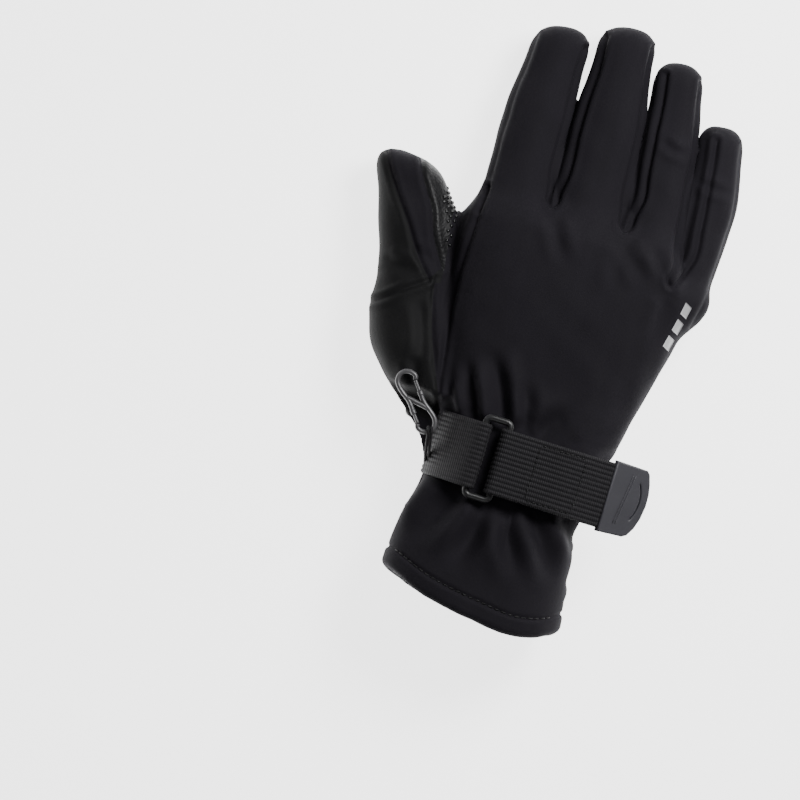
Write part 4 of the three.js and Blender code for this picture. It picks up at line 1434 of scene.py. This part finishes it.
@dataclass
class Needlework:
    """Stitches along the seams and the hem."""

    draper: Draper
    inset: float = 2.4
    between: float = 2.4
    lift: float = 0.1

    def dress(self, shop: Workshop) -> None:
        """Sews the hand's visible rows."""
        twin = (self.inset, self.inset + self.between)
        seams = (
            (PATCH_TOP, [-offset for offset in twin]),
            (PATCH_BOTTOM, twin),
            (THUMB_LEATHER_LINE, [-offset for offset in twin]),
            (LIFE_LINE, (1.6,)),
            (CUFF_LINE, (2.6,)),
        )
        rows = [self._beside(line, offset) for line, offsets in seams for offset in offsets]
        parts = [stitch_row(self.draper.lay(row, Side.PALM, self.lift)) for row in rows]
        for side in (Side.BACK, Side.PALM):
            parts.append(stitch_row(self._hem_row(side)))
        shop.hang("hand_stitches", merged(parts), Finish.THREAD, "hand")

    def _beside(self, points: Points, offset: float) -> Array:
        """A line parallel to a seam, to its left where offset is above zero."""
        line = smooth_line(points, 1.5)
        along = np.gradient(line, axis=0)
        along /= np.linalg.norm(along, axis=1)[:, None]
        return line + np.c_[-along[:, 1], along[:, 0]] * offset

    def _hem_row(self, side: Side) -> Array:
        """The row that closes the hem band."""
        found = []
        for x in np.arange(-47, 31, 1.5):
            z = 48.0 if side is Side.BACK else 2.0
            y = -75.0
            for _ in range(6):
                y += float(FORM.hem(np.array([[x, y, z]]))[0]) + Relief().hem_band
            hit = self.draper.drop(x, y, side)
            if hit:
                found.append(hit[0] + hit[1] * self.lift)
        return np.array(found)


# ---------------------------------------------------------------- grip patches


@dataclass
class Grips:
    """Rows of raised dots on the pads of the fingers and thumb."""

    draper: Draper
    pitch: float = 2.5
    dot_radius: float = 0.85
    dot_height: float = 0.65
    reach: dict[str, tuple[float, float]] = field(default_factory=lambda: {
        "index": (13, 43), "middle": (7, 37), "ring": (10, 36), "little": (10, 36), "thumb": (12, 42)})

    def dress(self, shop: Workshop) -> None:
        """Makes each finger's patch of dots."""
        for limb in LIMBS:
            dots = [self._dot(*hit) for hit in self._spots(limb)]
            shop.hang(f"{limb.name}_grip_dots", merged(dots), Finish.SILICONE, f"{limb.name}_tip",
                      f"{limb.name}_grip")

    def _spots(self, limb: Limb) -> list[tuple[Array, Array]]:
        """Where the dots of one patch lie on the cloth: rays out from the limb's middle line."""
        near, distant = self.reach[limb.name]
        low, high = (-150.0, 34.0) if limb is THUMB else (-138.0, -42.0)
        middle = (low + high) / 2
        _, across_axis = limb.axes()
        found = []
        rows = int((distant - near) / (self.pitch * 0.87))
        for row in range(rows):
            along = limb.length - distant + row * self.pitch * 0.87
            _, level, half_width, half_height = limb.profile(np.array([along / limb.length]))
            centre = np.array([*limb.spot(along, 0), level[0]])
            narrowing = min(1.0, 0.3 + (limb.length - near + 1 - along) / 12)
            turn = math.degrees(self.pitch / (0.92 * (half_width[0] + half_height[0]) / 2))
            count = int((high - low) / 2 * narrowing / turn)
            for column in range(-count, count + 1):
                angle = math.radians(middle + (column + 0.5 * (row % 2)) * turn)
                aim = np.array([*(across_axis * math.cos(angle)), math.sin(angle)])
                reach = 1.2 * half_width[0]
                hit, normal, _, _ = self.draper.tree.ray_cast(Vector(centre), Vector(aim), reach)
                if hit is not None:
                    found.append((np.array(hit), np.array(normal)))
        return found

    def _dot(self, place: Array, normal: Array) -> tuple[Array, list]:
        """One domed dot."""
        spin = Vector((0, 0, 1)).rotation_difference(Vector(normal)).to_matrix()
        turn = np.arange(8) * 2 * np.pi / 8
        rings = []
        for radius, height in ((1.0, -0.2), (0.94, 0.45), (0.55, 0.9)):
            ring = np.c_[np.cos(turn), np.sin(turn)] * radius * self.dot_radius
            rings.append(np.c_[ring, np.full(8, height * self.dot_height)])
        points = np.vstack([*rings, [[0, 0, self.dot_height]]]) @ np.array(spin).T + place
        faces = [face for face in ring_faces(3, 8, False)[:-2]]
        faces += [(16 + i, 16 + (i + 1) % 8, 24) for i in range(8)]
        return points, faces


# ---------------------------------------------------------------- strap


@dataclass
class Strap:
    """The wrist strap: webbing through a ring, touch fastener and pull tab."""

    width: float = 30.0
    thickness: float = 1.5
    ribs: int = 14
    rib_height: float = 0.42
    ring_size: tuple[float, float] = (14.2, 39.0)
    bar: float = 3.0
    ring_x: float = -17.4
    ring_z: float = 49.9
    tail_end: float = 41.0
    tab_length: float = 15.0
    tab_thickness: float = 4.4
    bar_clearance: float = 0.45
    pile_margin: float = 3.0
    tail_rise: float = 1.5
    stitch_inset: float = 2.3
    stitch_lift: float = 0.12
    ring_right: ClassVar[float] = -11.8
    ring_left: ClassVar[float] = -23.0

    @property
    def wrap_radius(self) -> float:
        """From a bar's middle to the middle of the webbing round it."""
        return self.bar * 0.5 + self.bar_clearance + self.thickness / 2

    def _turned(self, points: Array) -> Array:
        """From the strap's own frame to the drawing."""
        angle = math.radians(FORM.strap_tilt)
        points = np.asarray(points, float)
        x = points[:, 0] * math.cos(angle) - points[:, 1] * math.sin(angle)
        y = points[:, 0] * math.sin(angle) + points[:, 1] * math.cos(angle) + FORM.strap_y
        return np.c_[x, y, points[:, 2]]

    def _band(self, path: Array, width: float, thickness: float, ribs: int) -> tuple[Array, list]:
        """A band along a path in the strap's XZ plane, ribbed on both faces."""
        lengths = np.r_[0, np.cumsum(np.hypot(*np.diff(path, axis=0).T))]
        where = np.linspace(0, lengths[-1], max(int(lengths[-1] / 0.9), 4))
        line = np.c_[np.interp(where, lengths, path[:, 0]), np.interp(where, lengths, path[:, 1])]
        along = np.gradient(line, axis=0)
        along /= np.linalg.norm(along, axis=1)[:, None]
        up = np.c_[-along[:, 1], along[:, 0]]
        columns = max(ribs, 4) * 6 + 1
        across = np.linspace(-width / 2, width / 2, columns)
        share = (across / width + 0.5) * max(ribs, 1)
        rib = self.rib_height * (np.abs(np.sin(np.pi * share)) ** 0.8 - 0.5) if ribs else np.zeros(columns)
        edge = step(width / 2, width / 2 - 0.9, np.abs(across))
        half = (thickness / 2 + rib) * (0.35 + 0.65 * edge)
        around = [(y, h) for y, h in zip(across, half)] + [(y, -h) for y, h in zip(across[::-1], half[::-1])]
        rings = [
            np.c_[np.full(len(around), p[0]) + u[0] * np.array([h for _, h in around]),
                  [y for y, _ in around],
                  np.full(len(around), p[1]) + u[1] * np.array([h for _, h in around])]
            for p, u in zip(line, up)
        ]
        return self._turned(np.vstack(rings)), ring_faces(len(rings), len(around), False)

    def _webbing(self, path: Array) -> tuple[Array, list]:
        """The strap's own ribbed band along a path."""
        return self._band(path, self.width, self.thickness, self.ribs)

    def _wrap(self, bar_x: float, start: float, finish: float) -> Array:
        """An arc around one bar of the ring, between two angles in degrees."""
        turn = np.radians(np.linspace(start, finish, 16))
        return np.c_[bar_x + self.wrap_radius * np.cos(turn), self.ring_z + self.wrap_radius * np.sin(turn)]

    def dress(self, shop: Workshop) -> None:
        """Makes every piece of the strap."""
        lift = self.thickness / 2 + 0.35
        xs = np.arange(-43.5, self.ring_left - 0.5, 0.8)
        top = self.ring_z + self.wrap_radius
        zs = glide(xs, (-43.5, -41, -38, -34, -30, -26, self.ring_left),
                   (26, 34, 39.6, 44.6, 48.6, 51.6, top))
        back = np.array([[self.ring_left - 3, self.ring_z - 3.0], [self.ring_left - 8, self.ring_z - 4.6]])
        anchor = np.vstack([np.c_[xs, zs], self._wrap(self.ring_left, 86, -95), back])
        shop.hang("anchor_webbing_ribbed", self._webbing(anchor), Finish.WEBBING, "hand", "anchor_webbing")
        xs = np.r_[np.arange(-6, 32, 1.0), np.arange(32, 37.5, 0.5)]
        under = np.array([[x, FORM.strap_height(np.array([x]))[0] + lift] for x in xs])
        shop.hang("under_webbing_ribbed", self._webbing(under), Finish.WEBBING, "hand", "under_webbing")
        self._fasteners(shop, under)
        self._ring(shop)
        self._tail(shop)

    def _fasteners(self, shop: Workshop, under: Array) -> None:
        """The loop patch on the under webbing and the hook patch under the tail."""
        loop = under[(under[:, 0] > 2) & (under[:, 0] < 26)] + [0, self.thickness / 2 + 0.6]
        pile = self._band(loop, self.width - self.pile_margin, 1.0, 0)
        shop.hang("loop_patch_pile", pile, Finish.FASTENER, "hand", "loop_patch")
        hook = self._tail_path()
        hook = hook[(hook[:, 0] > 2.5) & (hook[:, 0] < 25.5)] - [0, self.thickness / 2 + 0.75]
        pile = self._band(hook, self.width - self.pile_margin, 1.1, 0)
        shop.hang("hook_patch_pile", pile, Finish.FASTENER, "strap_tail", "hook_patch")

    def _tail_path(self) -> Array:
        """The tail's middle line, from the right bar to the tab."""
        top = self.ring_z + self.tail_rise
        xs = np.linspace(self.ring_right, self.tail_end, 60)
        zs = glide(xs, (self.ring_right, -6, 4, 16, 30, 41, 56),
                   (top + 1.3, top + 0.9, top + 0.1, top - 0.2, top - 2.6, top - 6.0, top - 11.0))
        return np.c_[xs, zs]

    def _ring(self, shop: Workshop) -> None:
        """The rectangular ring."""
        half_x, half_y = (size / 2 - self.bar / 2 for size in self.ring_size)
        corner = 2.2
        turn = np.radians(np.arange(0, 91, 15))
        path = []
        for quarter, (sx, sy) in enumerate(((1, 1), (-1, 1), (-1, -1), (1, -1))):
            angle = turn + quarter * np.pi / 2
            path.append(np.c_[sx * (half_x - corner) + corner * np.cos(angle),
                              sy * (half_y - corner) + corner * np.sin(angle)])
        flat = np.vstack(path)
        loop = np.c_[flat[:, 0] + self.ring_x, flat[:, 1], np.full(len(flat), self.ring_z)]
        dense = []
        for a, b in zip(loop, np.roll(loop, -1, 0)):
            count = max(int(np.linalg.norm(b - a) / 1.2), 1)
            dense.extend(a + (b - a) * share for share in np.arange(count) / count)
        ring = tube(self._turned(np.array(dense)), self.bar / 2 * 1.02, 14, closed=True, flat=0.92)
        shop.hang("wrist_ring_moulded", ring, Finish.RING, "hand", "wrist_ring")

    def _tail(self, shop: Workshop) -> None:
        """The folded tail, its stitches and the pull tab."""
        fold = self._wrap(self.ring_right, -80, -265)
        path = np.vstack([fold[:-1], self._tail_path()])
        shop.hang("tail_webbing_ribbed", self._webbing(path), Finish.WEBBING, "strap_tail", "tail_webbing")
        line = self._tail_path()
        rows = []
        low, high = -self.width / 2 + self.stitch_inset, self.width / 2 - self.stitch_inset
        lift = self.thickness / 2 + self.stitch_lift
        for y in (low, high):
            row = line[(line[:, 0] > 3) & (line[:, 0] < 26)]
            rows.append(np.c_[row[:, 0], np.full(len(row), y), row[:, 1] + lift])
        for x in (3.5, 25.0):
            z = float(np.interp(x, line[:, 0], line[:, 1])) + lift
            ys = np.linspace(low, high, 20)
            rows.append(np.c_[np.full(20, x), ys, np.full(20, z)])
        stitches = merged([stitch_row(self._turned(row), 1.7, 0.9, 0.24) for row in rows])
        shop.hang("tail_stitches", stitches, Finish.THREAD, "strap_tail")
        self._tab(shop, line)

    def _tab(self, shop: Workshop, line: Array) -> None:
        """The moulded tab with its curved slot and ribbed grip lines."""
        start = line[-1]
        finish = np.array([self.tail_end + self.tab_length, self.ring_z + self.tail_rise - 10.6])
        slope = math.atan2(finish[1] - start[1], finish[0] - start[0])
        nose = [(8.6, -15.0), (10.4, -14.0), (12.6, -10.4), (14.2, -5.5), (15.0, 0.5), (14.8, 5.5),
                (13.9, 10.0), (12.5, 14.2), (11.4, 15.3)]
        root = self.width / 2 + 0.7
        outline = [(-2.6, -root), *nose, (-2.6, root)]
        curve = bpy.data.curves.new("pull_tab_outline", "CURVE")
        curve.dimensions = "2D"
        curve.fill_mode = "BOTH"
        curve.extrude = (self.tab_thickness / 2 - 0.7) * MM
        curve.bevel_depth = 0.7 * MM
        curve.bevel_resolution = 3
        self._spline(curve, outline)
        slot = [(-4.6 + 17.4 * math.cos(a), 1.0 + 17.4 * math.sin(a)) for a in np.linspace(-0.58, 0.56, 14)]
        slot += [(-4.6 + 15.9 * math.cos(a), 1.0 + 15.9 * math.sin(a)) for a in np.linspace(0.54, -0.56, 14)]
        self._spline(curve, slot)
        holder = bpy.data.objects.new("pull_tab_outline", curve)
        bpy.context.scene.collection.objects.link(holder)
        depsgraph = bpy.context.evaluated_depsgraph_get()
        mesh = bpy.data.meshes.new_from_object(holder.evaluated_get(depsgraph))
        flat = np.array([v.co for v in mesh.vertices]) / MM
        faces = [tuple(p.vertices) for p in mesh.polygons]
        bpy.data.objects.remove(holder)
        parts = [(flat, faces)]
        for offset in (-0.55, 0.55):
            bead = np.c_[np.linspace(3.3, 6.2, 16) + offset, np.linspace(-10.8, 12.3, 16),
                         np.full(16, self.tab_thickness / 2 + 0.02)]
            parts.append(tube(bead, 0.26, 8))
        points, faces = merged(parts)
        lean = np.c_[
            start[0] + points[:, 0] * math.cos(slope) - points[:, 2] * math.sin(slope),
            points[:, 1],
            start[1] + points[:, 0] * math.sin(slope) + points[:, 2] * math.cos(slope),
        ]
        shop.hang("pull_tab_moulded", (self._turned(lean), faces), Finish.RUBBER, "strap_tail", "pull_tab")

    @staticmethod
    def _spline(curve: bpy.types.Curve, outline: Sequence[tuple[float, float]]) -> None:
        """Adds one closed outline to a flat curve."""
        spline = curve.splines.new("POLY")
        spline.points.add(len(outline) - 1)
        for point, (x, y) in zip(spline.points, outline):
            point.co = (x * MM, y * MM, 0.0, 1.0)
        spline.use_cyclic_u = True


# ---------------------------------------------------------------- snap hook


@dataclass
class SnapHook:
    """The double-ended snap hook and the narrow loop that holds it."""

    place: tuple[float, float, float] = (-45.6, -1.0, 40.5)
    heading: float = 129.0
    wire: float = 1.1
    rail: float = 4.3
    length: float = 29.0
    lower_pivot: float = 10.4
    upper_pivot: float = 17.6
    loop_heading: float = 99.0

    def _laid(self, points: Array, heading: float | None = None) -> Array:
        """From the hook's own frame, or one of another heading, to the drawing."""
        angle = math.radians(self.heading if heading is None else heading)
        x = points[:, 0] * math.cos(angle) - points[:, 1] * math.sin(angle) + self.place[0]
        y = points[:, 0] * math.sin(angle) + points[:, 1] * math.cos(angle) + self.place[1]
        return np.c_[x, y, points[:, 2] + self.place[2]]

    def _wire(self, corners: Points, radius: float) -> tuple[Array, list]:
        """A round wire through points of the hook's own plane."""
        line = smooth_line(corners, 0.5)
        return tube(self._laid(np.c_[line, np.zeros(len(line))]), radius, 12)

    def dress(self, shop: Workshop) -> None:
        """Makes the frame, the gates and the loop."""
        rail, top = self.rail, self.length
        waist = 2.7
        upper_end = [(top - 5.4, -rail + 0.6), (top - 3.8, -rail), (top - 1.2, -rail + 1.4), (top, -0.6),
                     (top - 0.4, 1.8), (top - 2.6, rail - 0.4), (top - 5.4, rail)]
        left_rail = [(20.5, rail - 0.4), (16.5, waist + 0.3), (self.lower_pivot, waist + 0.5)]
        right_rail = [(self.upper_pivot, -waist - 0.5), (12.5, -waist - 0.3), (8.0, -rail + 0.4),
                      (5.0, -rail)]
        lower_end = [(2.4, -rail + 0.5), (0.3, -1.8), (0, 0.4), (1.2, rail - 1.3), (3.6, rail),
                     (5.2, rail - 0.6)]
        parts = [
            self._wire([*upper_end, *left_rail], self.wire),
            self._wire([*right_rail, *lower_end], self.wire),
            self._wire([(18.2, waist + 0.6), (14, 0), (9.8, -waist - 0.6)], self.wire),
            self._wire([(self.lower_pivot + 1.5, waist + 0.5), (self.lower_pivot - 0.6, waist + 0.5)],
                       self.wire * 1.15),
            self._wire([(self.upper_pivot - 1.5, -waist - 0.5), (self.upper_pivot + 0.6, -waist - 0.5)],
                       self.wire * 1.15),
        ]
        shop.hang("snap_hook_wire", merged(parts), Finish.HOOK, "snap_hook", "snap_hook_frame")
        gates = (("lower", (self.lower_pivot - 0.6, waist + 0.5), (5.4, rail - 0.8)),
                 ("upper", (self.upper_pivot + 0.6, -waist - 0.5), (top - 5.6, -rail + 0.8)))
        for name, pivot, tip in gates:
            middle = ((pivot[0] + tip[0]) / 2, (pivot[1] + tip[1]) / 2)
            bar = self._wire([pivot, middle, tip], self.wire * 0.72)
            shop.hang(f"hook_gate_{name}_bar", bar, Finish.HOOK, f"{name}_gate", f"snap_hook_gate_{name}")
        self._loop(shop)

    def _loop(self, shop: Workshop) -> None:
        """The narrow loop, from the side seam round the held end of the hook: two strands of cord."""
        turn = np.radians(np.linspace(-160, 160, 24))
        eye = np.c_[-0.1 + 1.95 * np.cos(turn), 1.95 * np.sin(turn)]
        path = [(-13.2, -14.0), (-9.5, -9.0), (-4.8, -2.6), *eye, (-4.8, -0.6), (-9.5, -6.6), (-13.4, -12.4)]
        flat = np.array(path)
        parts = []
        for side in (-0.75, 0.75):
            strand = self._laid(np.c_[flat[:, 0], np.full(len(flat), side), flat[:, 1]], self.loop_heading)
            parts.append(tube(strand, 0.62, 8))
        shop.hang("hanger_loop_woven", merged(parts), Finish.WEBBING, "hand", "hanger_loop")


@dataclass
class ReflectiveMark:
    """A plain reflective mark by the little finger: three slanted bars."""

    draper: Draper
    bars: tuple[Points, ...] = (
        ((47.0, 62), (48.4, 67.5)),
        ((49.0, 70), (50.4, 75.5)),
        ((50.8, 78), (52.0, 83.5)),
    )
    width: float = 3.2
    slant: float = 1.6
    lift: float = 0.12
    rows: int = 9
    columns: int = 6

    def dress(self, shop: Workshop) -> None:
        """Lays the bars on the cloth."""
        last, wide = self.rows - 1, self.columns
        count = self.rows * wide
        rim = [r * wide for r in range(last)] + list(range(last * wide, count - 1))
        rim += [r * wide + wide - 1 for r in range(last, 0, -1)] + list(range(wide - 1, 0, -1))
        grid = [(i, i + 1, i + wide + 1, i + wide)
                for i in (r * wide + c for r in range(last) for c in range(wide - 1))]
        faces = [tuple(reversed(face)) for face in grid] + [tuple(i + count for i in face) for face in grid]
        faces += [(a, b, b + count, a + count) for a, b in zip(rim, rim[1:] + rim[:1])]
        parts = []
        for (x0, y0), (x1, y1) in self.bars:
            laid = []
            for share in np.linspace(0, 1, self.rows):
                for across in np.linspace(-0.5, 0.5, wide):
                    x = x0 + (x1 - x0) * share + across * self.width
                    y = y0 + (y1 - y0) * share - across * self.slant
                    place, normal = self.draper.drop(x, y, Side.BACK)
                    laid.append(place + normal * self.lift)
            top = np.array(laid)
            low = top - [0, 0, 2 * self.lift]
            parts.append((np.vstack([top, low]), faces))
        shop.hang("reflective_bars", merged(parts), Finish.MARK, "hand")


# ---------------------------------------------------------------- studio


@dataclass
class Studio:
    """Camera, lights and floor."""

    view_width: float = 360.0
    distance: float = 2600.0
    centre: tuple[float, float] = (-62.0, 9.0)
    roll: float = 15.0
    floor_drop: float = 2.8
    floor_half: float = 3000.0
    floor_glow: float = 3.0
    film: float = 36.0
    focus_height: float = 25.0
    sky: float = 0.05
    white: tuple[float, float, float, float] = (1.0, 1.0, 1.0, 1.0)

    def build(self, shop: Workshop) -> None:
        """Makes the camera, the lights and the floor."""
        camera = bpy.data.objects.new("camera", bpy.data.cameras.new("camera"))
        bpy.context.scene.collection.objects.link(camera)
        bpy.context.scene.camera = camera
        camera.data.sensor_width = self.film
        camera.data.lens = self.film * (self.distance - self.focus_height) / self.view_width
        camera.data.clip_end = 20.0
        camera.location = shop.place((*self.centre, self.distance))
        camera.rotation_euler = (0.0, 0.0, math.radians(self.roll))
        self._light(shop, "key", (240, 400, 520), 280, 5.8)
        self._light(shop, "fill", (-380, 240, 620), 420, 0.45)
        self._light(shop, "rim", (60, -520, 520), 320, 0.5)
        world = bpy.data.worlds.new("studio")
        bpy.context.scene.world = world
        world.use_nodes = True
        background = world.node_tree.nodes["Background"]
        background.inputs["Color"].default_value = self.white
        background.inputs["Strength"].default_value = self.sky
        self._floor(shop)

    def _light(self, shop: Workshop, name: str, spot: Sequence[float], size: float, power: float) -> None:
        """Adds one soft square light aimed at the glove."""
        data = bpy.data.lights.new(name, "AREA")
        data.size = size * MM
        data.energy = power
        light = bpy.data.objects.new(name, data)
        light.location = shop.place(spot)
        aim = shop.place((-10, 50, 20)) - light.location
        light.rotation_euler = aim.to_track_quat("-Z", "Y").to_euler()
        bpy.context.scene.collection.objects.link(light)

    def _floor(self, shop: Workshop) -> None:
        """A plain pale floor."""
        half, drop = self.floor_half, -self.floor_drop
        corners = np.array([(x * half, y * half, drop) for x, y in ((-1, -1), (1, -1), (1, 1), (-1, 1))])
        mesh = bpy.data.meshes.new("floor")
        mesh.from_pydata(shop.metres(corners).tolist(), [], [(0, 1, 2, 3)])
        shader = Shader("floor")
        speck = shader.noise(40, 2.0)
        mesh.materials.append(shader.finish({
            "Base Color": shader.tint(speck, (0.90, 0.90, 0.90), (0.93, 0.93, 0.93)),
            "Roughness": 0.9,
            "Emission Color": self.white,
            "Emission Strength": self.floor_glow,
        }))
        floor = bpy.data.objects.new("floor", mesh)
        bpy.context.scene.collection.objects.link(floor)


def main() -> None:
    """Builds the glove, piece by piece."""
    logging.basicConfig(level=logging.INFO, format="%(name)s: %(message)s")
    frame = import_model()
    shop = Workshop(frame)
    Studio().build(shop)
    shell = Shell()
    shell.build()
    shell.dress(shop)
    draper = Draper(shell.surface)
    Needlework(draper).dress(shop)
    Grips(draper).dress(shop)
    Strap().dress(shop)
    SnapHook().dress(shop)
    ReflectiveMark(draper).dress(shop)


if __name__ == "__main__":
    main()
